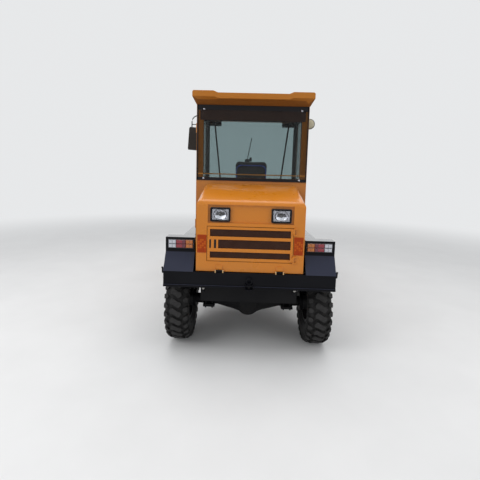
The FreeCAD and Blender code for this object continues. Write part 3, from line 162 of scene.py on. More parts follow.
def lens(name, dark, light):
    """Moulded lamp lens with upright flutes."""
    m, nodes, links = material(name)
    bsdf = shader(nodes, links, Roughness=0.12, Coat_Weight=0.7, Coat_Roughness=0.04)
    wave = add_node(nodes, "TexWave", Scale=50.0)
    wave.bands_direction = "X"
    fac = placed(nodes, links, wave)
    links.new(ramp(nodes, links, fac, [(0.1, dark), (0.9, light)]), bsdf.inputs["Base Color"])
    bump(nodes, links, bsdf, fac, 0.5, 1.2 * MM)
    return m


def clear(name, tint, rough, ior):
    m, nodes, links = material(name)
    shader(nodes, links, Transmission_Weight=1.0, Roughness=rough, IOR=ior, Base_Color=(*tint, 1.0))
    return m


# Name, clean and dusty colour, lowest and highest roughness, coat, specular, depth of the peel in mm
PAINTS = {
    "cab_yellow": ("paint_yellow", (0.56, 0.178, 0.006), (0.53, 0.180, 0.012), 0.26, 0.36, 0.5, 0.3),
    "cab_ochre": ("paint_ochre", (0.41, 0.143, 0.014), (0.40, 0.148, 0.020), 0.28, 0.38, 0.4, 0.3),
    "roof_yellow": ("moulding_yellow", (0.38, 0.134, 0.015), (0.37, 0.138, 0.020), 0.48, 0.60, 0.0, 0.2),
    "trim_black": ("paint_black", (0.0032, 0.0033, 0.005), (0.0065, 0.0068, 0.0092), 0.28, 0.42, 0.05, 0.08),
    # The slopes' blue-black: its blue is a painted sky reflection
    "slope_black": ("sheen_black", (0.013, 0.0155, 0.033), (0.020, 0.023, 0.043), 0.30, 0.42, 0.2, 0.2),
    "fender_black": ("gloss_black", (0.011, 0.0125, 0.019), (0.019, 0.0205, 0.027), 0.16, 0.28, 1.0, 0.5),
    "frame_black": ("paint_frame", (0.0045, 0.0045, 0.0055), (0.012, 0.0115, 0.0115), 0.42, 0.6, 0, 0.12, 0.3),
    "ram_black": ("ram_paint", (0.012, 0.012, 0.013), (0.03, 0.028, 0.026), 0.3, 0.45, 0.3, 0.3),
    "rim": ("rim_paint", (0.014, 0.014, 0.015), (0.04, 0.037, 0.034), 0.35, 0.5, 0.2, 0.3),
}
# Name, dark and light colour, roughness, specular, and the grain's scale, depth in mm and strength
PLAINS = {
    "floor_grey": ("floor_mat", (0.02, 0.02, 0.02), (0.045, 0.043, 0.04), 0.8, EVEN, 120, 0.4, 0.3),
    "mesh_black": ("mesh_wire", (0.052, 0.018, 0.010), (0.088, 0.036, 0.021), 0.6, 0.15, 200, 0.4, 0.3),
    "mirror_housing": ("mirror_shell", grey(0.012), grey(0.025), 0.45, EVEN, 90, 0.4, 0.3),
    "tyre": ("rubber", (0.0060, 0.0060, 0.0062), (0.018, 0.0172, 0.0168), 0.72, 0.25, 60, 0.6, 0.4),
    "tread": ("dusty_rubber", (0.022, 0.0215, 0.0220), (0.046, 0.0445, 0.0440), 0.85, 0.2, 90, 0.6, 0.4),
    # The roof's underside: its darker brown is painted shade
    "soffit": ("roof_underside", (0.20, 0.070, 0.010), (0.24, 0.085, 0.013), 0.7, 0.2, 40, 0.3, 0.2),
    "plastic_black": ("moulded_black", grey(0.009), grey(0.016), 0.42, 0.2, 150, 0.2, 0.3),
    "rubber_black": ("seal_rubber", grey(0.010), grey(0.020), 0.65, EVEN, 120, 0.2, 0.3),
    # The header's dark brown is painted shade
    "header_painted_shade": ("header_board", (0.020, 0.0082, 0.0052), (0.034, 0.015, 0.010), 0.8, 0.1, 180, 0.3, 0.3),
    "hinge_ends": ("bright_pin", (0.44, 0.28, 0.12), (0.52, 0.34, 0.16), 0.4, EVEN, 80, 0.1, 0.1),
    "trim_brown": ("dark_lining", (0.014, 0.009, 0.007), (0.026, 0.018, 0.014), 0.7, EVEN, 180, 0.4, 0.3),
    "lamp_lens": ("lamp_base", grey(0.010), grey(0.018), 0.35, EVEN, 150, 0.2, 0.3),
    "headlamp": ("lamp_bezel", (0.0055, 0.0050, 0.0065), (0.010, 0.009, 0.011), 0.35, 0.18, 150, 0.1, 0.3),
    "front_lamp": ("lamp_housing", grey(0.010), grey(0.018), 0.4, EVEN, 150, 0.2, 0.3),
    "reflector_red": ("reflector_patch", (0.32, 0.042, 0.008), (0.38, 0.055, 0.010), 0.5, 0.1, 300, 0.2, 0.3),
    "reflector_orange": ("reflector_cells", (0.44, 0.085, 0.01), (0.52, 0.11, 0.013), 0.5, 0.1, 300, 0.2, 0.3),
    "seat_fabric": ("seat_cloth", (0.014, 0.011, 0.012), (0.035, 0.026, 0.026), 0.9, EVEN, 500, 0.5, 0.6),
    "seat_blue": ("seat_piping", (0.012, 0.03, 0.20), (0.02, 0.05, 0.28), 0.65, EVEN, 300, 0.3, 0.3),
    # The right mirror's face: its cream-olive is a painted reflection, darkened as painted shade
    "mirror_painted_reflection": ("convex_mirror", (0.36, 0.325, 0.225), (0.42, 0.38, 0.27), 0.2, EVEN, 8, 0.05, 0.02),
    "dial": ("dial_face", (0.02, 0.02, 0.022), (0.03, 0.03, 0.032), 0.3, EVEN, 200, 0.1, 0.3),
    "knob_red": ("knob", (0.38, 0.02, 0.015), (0.48, 0.03, 0.02), 0.35, EVEN, 60, 0.1, 0.3),
}
# Name, dark and light colour, roughness, metallic, and the grain's scale, depth in mm and strength
METALS = {
    "engine_grey": ("casting", (0.03, 0.032, 0.034), (0.07, 0.07, 0.07), 0.6, 0.3, 45, 0.4, 0.3),
    "ram_rod": ("chromed_rod", (0.55, 0.55, 0.57), (0.68, 0.68, 0.70), 0.1, 1.0, 30, 0.1, 0.1),
    "steel": ("bright_steel", (0.30, 0.29, 0.275), (0.42, 0.41, 0.385), 0.36, 1.0, 80, 0.2, 0.15),
    "chrome": ("reflector_bowl", (0.33, 0.34, 0.39), (0.40, 0.41, 0.46), 0.12, 1.0, 20, 0.1, 0.05),
    # Painted reflections for the headlamps' bowls: a bright band that is a painted highlight and a dark one
    # that is a painted dark reflection
    "chrome_bright": ("reflector_low_band", (0.66, 0.69, 0.76), (0.74, 0.77, 0.84), 0.25, 1.0, 20, 0.1, 0.05),
    "chrome_dark": ("reflector_shade", (0.035, 0.036, 0.042), (0.06, 0.06, 0.07), 0.15, 1.0, 20, 0.1, 0.05),
    "mirror_face": ("mirror_glass", (0.035, 0.030, 0.027), (0.048, 0.041, 0.036), 0.06, 1.0, 8, 0.05, 0.02),
}
# Name, dark and light colour
LENSES = {
    "lens_red": ("red_lens", (0.10, 0.004, 0.012), (0.16, 0.007, 0.018)),
    "lens_amber": ("amber_lens", (0.22, 0.065, 0.008), (0.30, 0.09, 0.012)),
    "lens_white": ("white_lens", (0.20, 0.205, 0.24), (0.30, 0.31, 0.35)),
    "cell_red": ("red_cells", (0.20, 0.006, 0.016), (0.27, 0.010, 0.024)),
    "cell_violet": ("dark_red_cells", (0.085, 0.008, 0.022), (0.12, 0.012, 0.03)),
    "cell_amber": ("amber_cells", (0.40, 0.11, 0.008), (0.50, 0.15, 0.012)),
    "cell_white": ("white_cells", (0.42, 0.43, 0.48), (0.58, 0.59, 0.64)),
}
# Name, tint, roughness, index of refraction
PANES = {
    "glass": ("tinted_glass", (0.45, 0.525, 0.53), 0.0, 1.25),
    "lens_clear": ("clear_lens", (0.96, 0.96, 0.96), 0.02, 1.45),
}
MAT = {}
for make, table in ((paint, PAINTS), (plain, PLAINS), (metal, METALS), (lens, LENSES), (clear, PANES)):
    for key, row in table.items():
        MAT[key] = make(*row)
SLOT_OF = {p["node"]: p["material_slot"] for p in frame["record"]["subparts"]}


def smooth_by_angle(limit):
    """A node group that shades a solid's curved stretches smooth and keeps its corners sharp."""
    group = bpy.data.node_groups.new("smooth_by_angle", "GeometryNodeTree")
    group.interface.new_socket("Geometry", in_out="INPUT", socket_type="NodeSocketGeometry")
    group.interface.new_socket("Geometry", in_out="OUTPUT", socket_type="NodeSocketGeometry")
    nodes, links = group.nodes, group.links
    angle = nodes.new("GeometryNodeInputMeshEdgeAngle")
    sharp = nodes.new("FunctionNodeCompare")
    sharp.operation = "GREATER_THAN"
    sharp.inputs["B"].default_value = limit
    normal = nodes.new("GeometryNodeSetMeshNormal")
    normal.mode = "SHARPNESS"
    normal.inputs["Remove Custom"].default_value = True
    links.new(angle.outputs["Unsigned Angle"], sharp.inputs["A"])
    links.new(sharp.outputs["Result"], normal.inputs["Edge Sharpness"])
    links.new(nodes.new("NodeGroupInput").outputs["Geometry"], normal.inputs["Mesh"])
    links.new(normal.outputs["Mesh"], nodes.new("NodeGroupOutput").inputs["Geometry"])
    return group


SMOOTH = smooth_by_angle(math.radians(32))
EDGE_SEGMENTS = 2
EDGE_ANGLE = 35.0


def round_edges(o, name, width, angle=EDGE_ANGLE):
    edge = o.modifiers.new(name, "BEVEL")
    edge.width = width
    edge.segments = EDGE_SEGMENTS
    edge.limit_method = "ANGLE"
    edge.angle_limit = math.radians(angle)
    edge.harden_normals = True


def dress(node, mat, width):
    """Gives a carried-over solid its material, and rounds its edges for the light."""
    o = frame["nodes"][node]
    o.data.materials.clear()
    o.data.materials.append(mat)
    weld = o.modifiers.new("weld", "WELD")
    weld.merge_threshold = 0.00002
    o.modifiers.new("smooth", "NODES").node_group = SMOOTH
    if width:
        round_edges(o, "edge", width)


# Radius of the rounded edges
EDGES = {
    "hood": 0.003, "cab_rear": 0.003, "cab_front": 0.003, "cab_side_right": 0.003, "door_left": 0.003,
    "cab_roof": 0.007, "bumper": 0.003, "rear_fenders": 0.003, "rear_frame": 0.003, "front_frame": 0.003,
    "skip": 0.003, "side_tanks": 0.003, "grille_door": 0.002, "rear_axle": 0.003, "front_axle": 0.003,
    "tow_jaw": 0.001, "side_reflectors": 0.0005,
}
# The cab is a duller ochre than the hood and the skip
CAB_NODES = ("cab_rear", "cab_front", "cab_side_right", "door_left")
for node, slot in SLOT_OF.items():
    dress(node, MAT["cab_ochre"] if node in CAB_NODES else MAT[slot], EDGES.get(node, 0.0))
for node in ("cab_glass", "door_glass"):
    frame["nodes"][node].visible_shadow = False


# Mesh helpers


def piece(name, bm, mats, body, replaces=()):
    """A piece of the scene, from a bmesh and the keys of its materials, that rides on a body."""
    mesh = bpy.data.meshes.new(name)
    bmesh.ops.recalc_face_normals(bm, faces=bm.faces)
    bm.to_mesh(mesh)
    bm.free()
    o = bpy.data.objects.new(name, mesh)
    bpy.context.scene.collection.objects.link(o)
    for key in mats.split():
        mesh.materials.append(MAT[key])
    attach(o, body)
    if replaces:
        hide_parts(*replaces)
    return o


def soften(o, width, angle=EDGE_ANGLE):
    round_edges(o, "soften", width, angle)


def circle(sides):
    """Angles evenly round a full turn."""
    return [2 * math.pi * k / sides for k in range(sides)]


def spoke(side, other, radius, angle):
    return side * (radius * math.cos(angle)) + other * (radius * math.sin(angle))


def add_box(bm, lo, hi, index=0):
    """An upright block between two corners given as (x, s, z)."""
    a, b = at(*lo), at(*hi)
    made = bmesh.ops.create_cube(bm, size=1.0)["verts"]
    for v in made:
        v.co = Vector((a[i] if v.co[i] < 0 else b[i] for i in range(3)))
    for f in {f for v in made for f in v.link_faces}:
        f.material_index = index


def add_pair(bm, lo, hi, index=0):
    """A block on the right side, and its mirror image on the left."""
    for side in BOTH:
        a, b = sorted((side * lo[0], side * hi[0]))
        add_box(bm, (a, *lo[1:]), (b, *hi[1:]), index)


def add_skin(bm, rings):
    """Faces between closed rings that have the same number of points."""
    faces = []
    n = len(rings[0])
    for low, high in zip(rings, rings[1:]):
        for k in range(n):
            faces.append(bm.faces.new((low[k], low[(k + 1) % n], high[(k + 1) % n], high[k])))
    return faces


def add_slab(bm, outline, place, push, index=0):
    """A flat outline, set in the frame by place(a, b), pushed along a vector."""
    low = [bm.verts.new(place(a, b)) for a, b in outline]
    high = [bm.verts.new(v.co + push) for v in low]
    n = len(low)
    faces = [bm.faces.new(low), bm.faces.new(high[::-1])]
    faces += [bm.faces.new((low[k], high[k], high[(k + 1) % n], low[(k + 1) % n])) for k in range(n)]
    for f in faces:
        f.material_index = index


def add_turned(bm, profile, centre, axis, sides=24, index=0, smooth=True):
    """Turns (along, radius) points about an axis through a point of the frame."""
    side = axis.orthogonal().normalized()
    other = axis.cross(side).normalized()
    rings = []
    for a, r in profile:
        mid = centre + axis * a
        if r < 1e-6:
            rings.append([bm.verts.new(mid)])
            continue
        rings.append([bm.verts.new(mid + spoke(side, other, r, t)) for t in circle(sides)])
    for low, high in zip(rings, rings[1:]):
        for k in range(sides):
            nxt = (k + 1) % sides
            if len(low) == len(high) == 1:
                continue
            if len(low) == 1:
                f = bm.faces.new((low[0], high[nxt], high[k]))
            elif len(high) == 1:
                f = bm.faces.new((low[k], low[nxt], high[0]))
            else:
                f = bm.faces.new((low[k], low[nxt], high[nxt], high[k]))
            f.material_index = index
            f.smooth = smooth


def add_tube(bm, points, radius, sides=16, index=0, closed=False):
    """A round bar through points already in the frame."""
    rings = []
    n = len(points)
    for i, p in enumerate(points):
        if closed:
            d = points[(i + 1) % n] - points[i - 1]
        else:
            d = points[min(i + 1, n - 1)] - points[max(i - 1, 0)]
        d.normalize()
        side = d.cross(Z if abs(d.dot(Z)) < 0.95 else X).normalized()
        other = side.cross(d).normalized()
        rings.append([bm.verts.new(p + spoke(side, other, radius, t)) for t in circle(sides)])
    for i in range(n if closed else n - 1):
        a, b = rings[i], rings[(i + 1) % n]
        for k in range(sides):
            f = bm.faces.new((a[k], a[(k + 1) % sides], b[(k + 1) % sides], b[k]))
            f.material_index = index
            f.smooth = True
    if not closed:
        for ring in (rings[0][::-1], rings[-1]):
            bm.faces.new(ring).material_index = index


def add_rod(bm, spots, radius, sides=16, index=0):
    """A round bar through points given as (x, s, z)."""
    add_tube(bm, [at(*spot) for spot in spots], radius, sides, index)


def add_bolt(bm, centre, axis, radius=0.009, index=0):
    """A hexagon head on a washer; axis points away from what it holds."""
    wide = radius * 1.45
    washer = [(-0.001, 0), (-0.001, wide), (0.0015, wide), (0.0015, 0)]
    head = [(0.001, radius), (radius * 0.75, radius), (radius * 0.9, radius * 0.86), (radius * 0.9, 0)]
    add_turned(bm, washer, centre, axis, 20, index)
    add_turned(bm, head, centre, axis, 6, index, smooth=False)


def add_dome(bm, centre, axis, radius, height, index=0):
    """A low round head, such as a glass bolt's cap."""
    arc = [(height * math.sin(t), radius * math.cos(t)) for t in (math.radians(15 * k) for k in range(6))]
    add_turned(bm, [(-0.0005, 0), (-0.0005, radius)] + arc + [(height, 0)], centre, axis, 24, index)


def rounded(half_a, half_b, radius, steps=5):
    """A rectangle with round corners, as points round its middle."""
    points = []
    for sa, sb, start in ((1, 1, 0), (-1, 1, 90), (-1, -1, 180), (1, -1, 270)):
        mid_a, mid_b = sa * (half_a - radius), sb * (half_b - radius)
        for k in range(steps + 1):
            t = math.radians(start + 90 * k / steps)
            points.append((mid_a + radius * math.cos(t), mid_b + radius * math.sin(t)))
    return points


def paint_faces(node, mats, choose):
    """Gives a solid's faces further materials: choose(centre in the scene's stations) returns an index."""
    o = frame["nodes"][node]
    for key in mats.split():
        o.data.materials.append(MAT[key])
    for p in o.data.polygons:
        c = o.matrix_world @ p.center
        p.material_index = choose(c.x, c.y - REAR, c.z)


def front_s(z):
    """The cab front's outer face leans: its station at a height."""
    return 1.800 - 0.055 * (z - 1.0) / 1.545


# The roof's underside, painted a darker brown as painted shade, starts just under its moulded edge
ROOF_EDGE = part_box("cab_roof")[0].z + 0.040
# The hood hinges' knuckles: their top, their front, the rings' low edge, their middle and half their width
KNUCKLE_TOP = 0.92
KNUCKLE_FRONT = 0.0215
RING_LOW = 0.871
HINGE_X = 0.280
HINGE_HALF = 0.0295
# The windscreen's heights, the cab's inner faces, the rear lining's reach and the roof's open edge
SCREEN_LOW, SCREEN_HIGH = 1.31, 2.49
PILLAR_IN = 0.592
FRONT_DEPTH = 0.070
WALL_IN = 0.615
REAR_WALL_IN = 0.785
REAR_WINDOW_LOW = 1.795
LINING_HALF = 0.60
EAVE_END = 0.80
# The tail lamps' lenses reach forward to here, and amber and red end here, from the inside out
LENS_FACE = 0.0915
AMBER_END, RED_END = 0.605, 0.697


def hood_finish(x, s, z):
    return 1 if s < KNUCKLE_FRONT and z < KNUCKLE_TOP else 0


def bumper_finish(x, s, z):
    """The bright ends of the hinge rings that stand on the bumper."""
    return 1 if z > RING_LOW and abs(abs(x) - HINGE_X) > HINGE_HALF else 0


def fender_finish(x, s, z):
    """Glossy tops, slopes over the bumper in a blue-black whose blue is a painted sky reflection, and plain
    black lamp boxes.
    """
    if s < 0.099 and z < 1.043:
        return 1
    return 2 if z > 1.04 and s > 0.105 else 0


def front_finish(x, s, z):
    """The windscreen's slim bars and all that faces the cab's inside are dark."""
    reveal = abs(x) < PILLAR_IN and SCREEN_LOW < z < SCREEN_HIGH
    return 1 if reveal or s < front_s(z) - FRONT_DEPTH else 0


def rear_finish(x, s, z):
    return 1 if s > REAR_WALL_IN and z > REAR_WINDOW_LOW and abs(x) < LINING_HALF else 0


# Painted shade: the roof's underside takes the darker brown
def roof_underside_shade(x, s, z):
    return 1 if z < ROOF_EDGE and s < EAVE_END else 0


def wall_finish(x, s, z):
    return 1 if abs(x) < WALL_IN else 0


def lens_finish(x, s, z):
    """The tail lamps' lenses, from the inside out: amber, red, white."""
    if s > LENS_FACE:
        return 0
    return 1 if abs(x) < AMBER_END else 2 if abs(x) < RED_END else 3


def latch_recess_shade(x, s, z):
    """Painted shade: the floor of the latch's recess, round its paddle, is painted dark."""
    recess = -0.377 < x < -0.313 and 1.094 < z < 1.176
    return 1 if recess and s > 0.031 and not -0.361 < x < -0.334 else 0


FINISHES = (
    ("hood", "trim_black", hood_finish),
    ("bumper", "hinge_ends", bumper_finish),
    ("rear_fenders", "slope_black fender_black", fender_finish),
    ("cab_front", "trim_brown", front_finish),
    ("cab_rear", "trim_brown", rear_finish),
    ("cab_roof", "soffit", roof_underside_shade),
    ("cab_side_right", "trim_brown", wall_finish),
    ("door_left", "trim_brown", wall_finish),
    ("grille_door", "plastic_black", latch_recess_shade),
    ("tail_lamps", "lens_amber lens_red lens_white", lens_finish),
)
for row in FINISHES:
    paint_faces(*row)


# Tyres and wheels

TYRE_RADIUS = (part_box("tyre_rear_left")[1].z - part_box("tyre_rear_left")[0].z) / 2
TYRE_STEPS = 120
PITCHES = 28


def tyre_profile():
    """Half-width and radius of the carcass, from one bead to the other."""
    outside = [
        (0.076, 0.206), (0.078, 0.222), (0.088, 0.232), (0.100, 0.244), (0.110, 0.270), (0.1155, 0.300),
        (0.1160, 0.325), (0.1130, 0.350), (0.1070, 0.372), (0.0990, 0.388), (0.0860, 0.396), (0.0500, 0.4005),
        (0.0, 0.402),
    ]
    return [(-a, r) for a, r in outside] + [(a, r) for a, r in outside[-2::-1]]


def add_lug(bm, outline, turn, base, top, slope):
    """A block of tread: its outline as (across, along) in metres, laid round the tyre at an angle."""
    mid = Vector((sum(p[0] for p in outline) / len(outline), sum(p[1] for p in outline) / len(outline)))
    layers = []
    for grow, r0 in ((1.10, base), (1.0, top - 0.003), (0.94, top)):
        layer = []
        for a, b in outline:
            x = mid.x + (a - mid.x) * grow
            y = mid.y + (b - mid.y) * grow
            r = r0 - slope * max(0.0, abs(x) - 0.055) ** 2 * 6.0
            angle = turn + y / TYRE_RADIUS
            layer.append(bm.verts.new((x, r * math.sin(angle), r * math.cos(angle))))
        layers.append(layer)
    add_skin(bm, layers)
    bm.faces.new(layers[-1]).material_index = 1


# One pitch of tread as (across, along): a hooked bar on the crown and a wedge on the right shoulder
CENTRE_LUG = [
    (-0.033, 0.053), (-0.062, 0.018), (-0.052, -0.010), (-0.029, -0.012), (0.033, -0.053), (0.062, -0.018),
    (0.052, 0.010), (0.029, 0.012),
]
SHOULDER_LUG = [(0.070, 0.030), (0.084, 0.008), (0.1165, 0.004), (0.1165, 0.056), (0.086, 0.053)]


def worn(outline, share=0.16):
    """An outline with its corners rubbed off."""
    points = []
    for i, (a, b) in enumerate(outline):
        for c, d in (outline[i - 1], outline[(i + 1) % len(outline)]):
            points.append((a + (c - a) * share, b + (d - b) * share))
    return points


def tyre_mesh():
    bm = bmesh.new()
    rings = []
    profile = tyre_profile()
    for t in circle(TYRE_STEPS):
        rings.append([bm.verts.new((x, r * math.sin(t), r * math.cos(t))) for x, r in profile])
    for a, b in zip(rings, rings[1:] + rings[:1]):
        for k in range(len(profile) - 1):
            bm.faces.new((a[k], b[k], b[k + 1], a[k + 1])).smooth = True
        bm.faces.new((a[-1], b[-1], b[0], a[0])).smooth = True
    for turn in circle(PITCHES):
        add_lug(bm, worn(CENTRE_LUG), turn, 0.392, TYRE_RADIUS - 0.0002, 0.3)
        for hand in BOTH:
            wedge = [(hand * a, hand * b) for a, b in worn(SHOULDER_LUG)]
            add_lug(bm, wedge, turn, 0.378, TYRE_RADIUS - 0.002, 1.1)
    # Raised lines round the sidewalls: half-width and radius
    for side in BOTH:
        for half, r in ((0.1085, 0.262), (0.1135, 0.345)):
            ring = [Vector((side * half, r * math.sin(t), r * math.cos(t))) for t in circle(96)]
            add_tube(bm, ring, 0.0022, 6, closed=True)
    return bm


NUT_CIRCLE = 0.062
NUT = [(0.0, 0.0125), (0.017, 0.0125), (0.019, 0.0105), (0.019, 0.0)]
HUB_CAP = [(0.034, 0.0), (0.034, 0.042), (0.052, 0.040), (0.058, 0.034), (0.058, 0.0)]


def wheels():
    for place, node in WHEELS.items():
        lo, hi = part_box(node)
        centre = (lo + hi) / 2
        bm = tyre_mesh()
        bmesh.ops.translate(bm, verts=bm.verts, vec=centre)
        piece("tread_" + place, bm, "tyre tread", "wheel_" + place, replaces=[node])
        side = 1 if centre.x > 0 else -1
        axis = X * side
        bm = bmesh.new()
        for t in circle(6):
            spot = centre + Vector((side * 0.030, NUT_CIRCLE * math.sin(t), NUT_CIRCLE * math.cos(t)))
            add_turned(bm, NUT, spot, axis, 6, smooth=False)
        add_turned(bm, HUB_CAP, centre, axis, 32, 1)
        valve = centre + Vector((side * 0.012, 0.150, 0.0))
        stem = [valve, valve + Vector((side * 0.03, 0.006, 0)), valve + Vector((side * 0.05, 0.0, 0))]
        add_tube(bm, stem, 0.0042, 10, 1)
        piece("wheel_nuts_" + place, bm, "steel rim", "wheel_" + place)


wheels()


# Rear glass, its print and bolts

PANE_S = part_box("cab_glass")[0].y - REAR
PANE_LOW = 1.712
WINDOW_HALF = 0.548
PANE_HALF = 0.621
PANE_TOP = 2.543
HEADER_LOW = 2.380


# The yellow rail under the rear window goes on over the posts
RAIL_LOW, RAIL_HIGH = 1.780, 1.792
POST_IN, POST_OUT = 0.549, 0.605
GLASS_BOLT_X = 0.541
GLASS_BOLT_Z = (1.733, 2.498)


def rear_print():
    """The black border printed on the rear glass, and what shows through it: the header as dark sheets of
    painted shade, the rail and the bolts.
    """
    bm = bmesh.new()
    s0, s1 = PANE_S - 0.0008, PANE_S - 0.0002
    for z0, z1 in ((PANE_LOW, PANE_LOW + 0.034), (PANE_TOP - 0.052, PANE_TOP)):
        add_box(bm, (-PANE_HALF, s0, z0), (PANE_HALF, s1, z1))
    add_pair(bm, (PANE_HALF - 0.012, s0, PANE_LOW), (PANE_HALF, s1, PANE_TOP))
    piece("rear_glass_print", bm, "headlamp", "rear_unit")
    # Painted shade: dark sheets over the header, one just inside the glass's face and one inside the cab
    bm = bmesh.new()
    s0, s1 = PANE_S + 0.0050, PANE_S + 0.0056
    add_box(bm, (-0.585, s0, HEADER_LOW), (0.585, s1, PANE_TOP - 0.030))
    add_box(bm, (-WINDOW_HALF + 0.002, 0.821, HEADER_LOW), (WINDOW_HALF - 0.002, 0.825, 2.502))
    piece("header_shade_sheet", bm, "header_painted_shade", "rear_unit")
    bm = bmesh.new()
    add_pair(bm, (POST_IN, s0, RAIL_LOW), (POST_OUT, s1, RAIL_HIGH))
    piece("rail_ends", bm, "cab_yellow", "rear_unit")
    bm = bmesh.new()
    washer = [(0.0, 0.0), (0.0, 0.016), (0.002, 0.016), (0.002, 0.0)]
    for side in BOTH:
        for z in GLASS_BOLT_Z:
            spot = at(side * GLASS_BOLT_X, PANE_S, z)
            add_turned(bm, washer, spot, -S, 28, 1)
            add_dome(bm, spot - S * 0.002, -S, 0.011, 0.006)
    piece("glass_bolts", bm, "chrome rubber_black", "rear_unit")


def roof_lip():
    """The moulded rear edge hangs a little lower along the roof's channel."""
    bm = bmesh.new()
    add_slab(bm, [(-0.430, 2.606), (-0.385, 2.588), (0.385, 2.588), (0.430, 2.606)],
             lambda a, b: at(a, 0.6551, b), S * 0.045)
    soften(piece("roof_rear_lip", bm, "roof_yellow", "rear_unit"), 0.003)


rear_print()
roof_lip()


# Windscreen, side glass seals and wiper


def seal_loop(bm, corners, radius, width):
    """A rubber profile round a pane, through corner points with round corners."""
    n = len(corners)
    loop = []
    for i, c in enumerate(corners):
        back = (corners[i - 1] - c).normalized() * radius
        ahead = (corners[(i + 1) % n] - c).normalized() * radius
        for k in range(7):
            t = k / 6
            loop.append(c + back * (1 - t) ** 2 + ahead * t ** 2)
    add_tube(bm, loop, width, 10, closed=True)


# From the cab front's outer face back to the side panes' front edge, and from a pane's edge to its seal
PANE_SETBACK = 0.139
SEAL_IN = 0.008


def side_seals():
    door_low, door_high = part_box("door_glass")
    panes = (
        ("right", "rear_unit", 0.632, 0.905, 1.135, 2.500),
        ("left", "door_left", -0.632, door_low.y - REAR, door_low.z, door_high.z),
    )
    for name, body, x, rear, low, high in panes:
        rear += SEAL_IN
        low += SEAL_IN
        high -= SEAL_IN
        front_low = front_s(low) - PANE_SETBACK
        front_high = front_s(high) - PANE_SETBACK
        corners = [at(x, rear, low), at(x, front_low, low), at(x, front_high, high), at(x, rear, high)]
        bm = bmesh.new()
        seal_loop(bm, corners, 0.05, 0.006)
        piece("side_seal_" + name, bm, "rubber_black", body)


def screen_trim():
    bm = bmesh.new()
    half = 0.611
    low, high = 1.281, 2.537
    corners = [at(-half, front_s(low) + 0.007, low), at(half, front_s(low) + 0.007, low),
               at(half, front_s(high) + 0.007, high), at(-half, front_s(high) + 0.007, high)]
    seal_loop(bm, corners, 0.04, 0.006)
    piece("screen_seal", bm, "rubber_black", "rear_unit")


def wiper():
    """A wiper low on the windscreen: motor box inside, arm and blade outside."""
    bm = bmesh.new()
    foot = at(-0.052, front_s(2.0) + 0.020, 2.0)
    tip = at(0.005, front_s(2.316) + 0.020, 2.316)
    add_box(bm, (-0.085, front_s(2.0) - 0.060, 1.955), (-0.020, front_s(2.0) - 0.0005, 2.015), 1)
    add_box(bm, (-0.020, front_s(2.0) - 0.050, 1.985), (0.012, front_s(2.0) - 0.042, 2.040), 1)
    boss = [(-0.024, 0.0), (-0.024, 0.012), (0.008, 0.012), (0.012, 0.008), (0.012, 0.0)]
    add_turned(bm, boss, foot, S, 20, 1)
    add_tube(bm, [foot, foot.lerp(tip, 0.25) + S * 0.012, foot.lerp(tip, 0.55) + S * 0.006], 0.0045, 8)
    low, high = foot.lerp(tip, 0.30), tip
    add_tube(bm, [low - S * 0.002, high - S * 0.002], 0.0055, 8)
    add_tube(bm, [low - S * 0.008, high - S * 0.008], 0.0030, 6, 1)
    piece("wiper", bm, "plastic_black rubber_black", "rear_unit")


side_seals()
screen_trim()
wiper()


# Inside the cab


def lining():
    """Headliner, floor mat and the trim on the pillars."""
    bm = bmesh.new()
    add_box(bm, (-0.584, 0.862, 2.534), (0.584, 1.660, 2.541))
    add_pair(bm, (0.5495, 0.8205, 1.06), (0.5835, 0.8245, 2.50))
    piece("headliner", bm, "trim_brown", "rear_unit")
    bm = bmesh.new()
    add_box(bm, (-0.575, 0.835, 1.0003), (0.575, 1.700, 1.010))
    for k in range(14):
        s = 1.17 + k * 0.036
        for x0, x1 in ((-0.56, -0.20), (0.20, 0.56)):
            add_box(bm, (x0, s, 1.0095), (x1, s + 0.010, 1.0135))
    piece("floor_mat", bm, "rubber_black", "rear_unit")


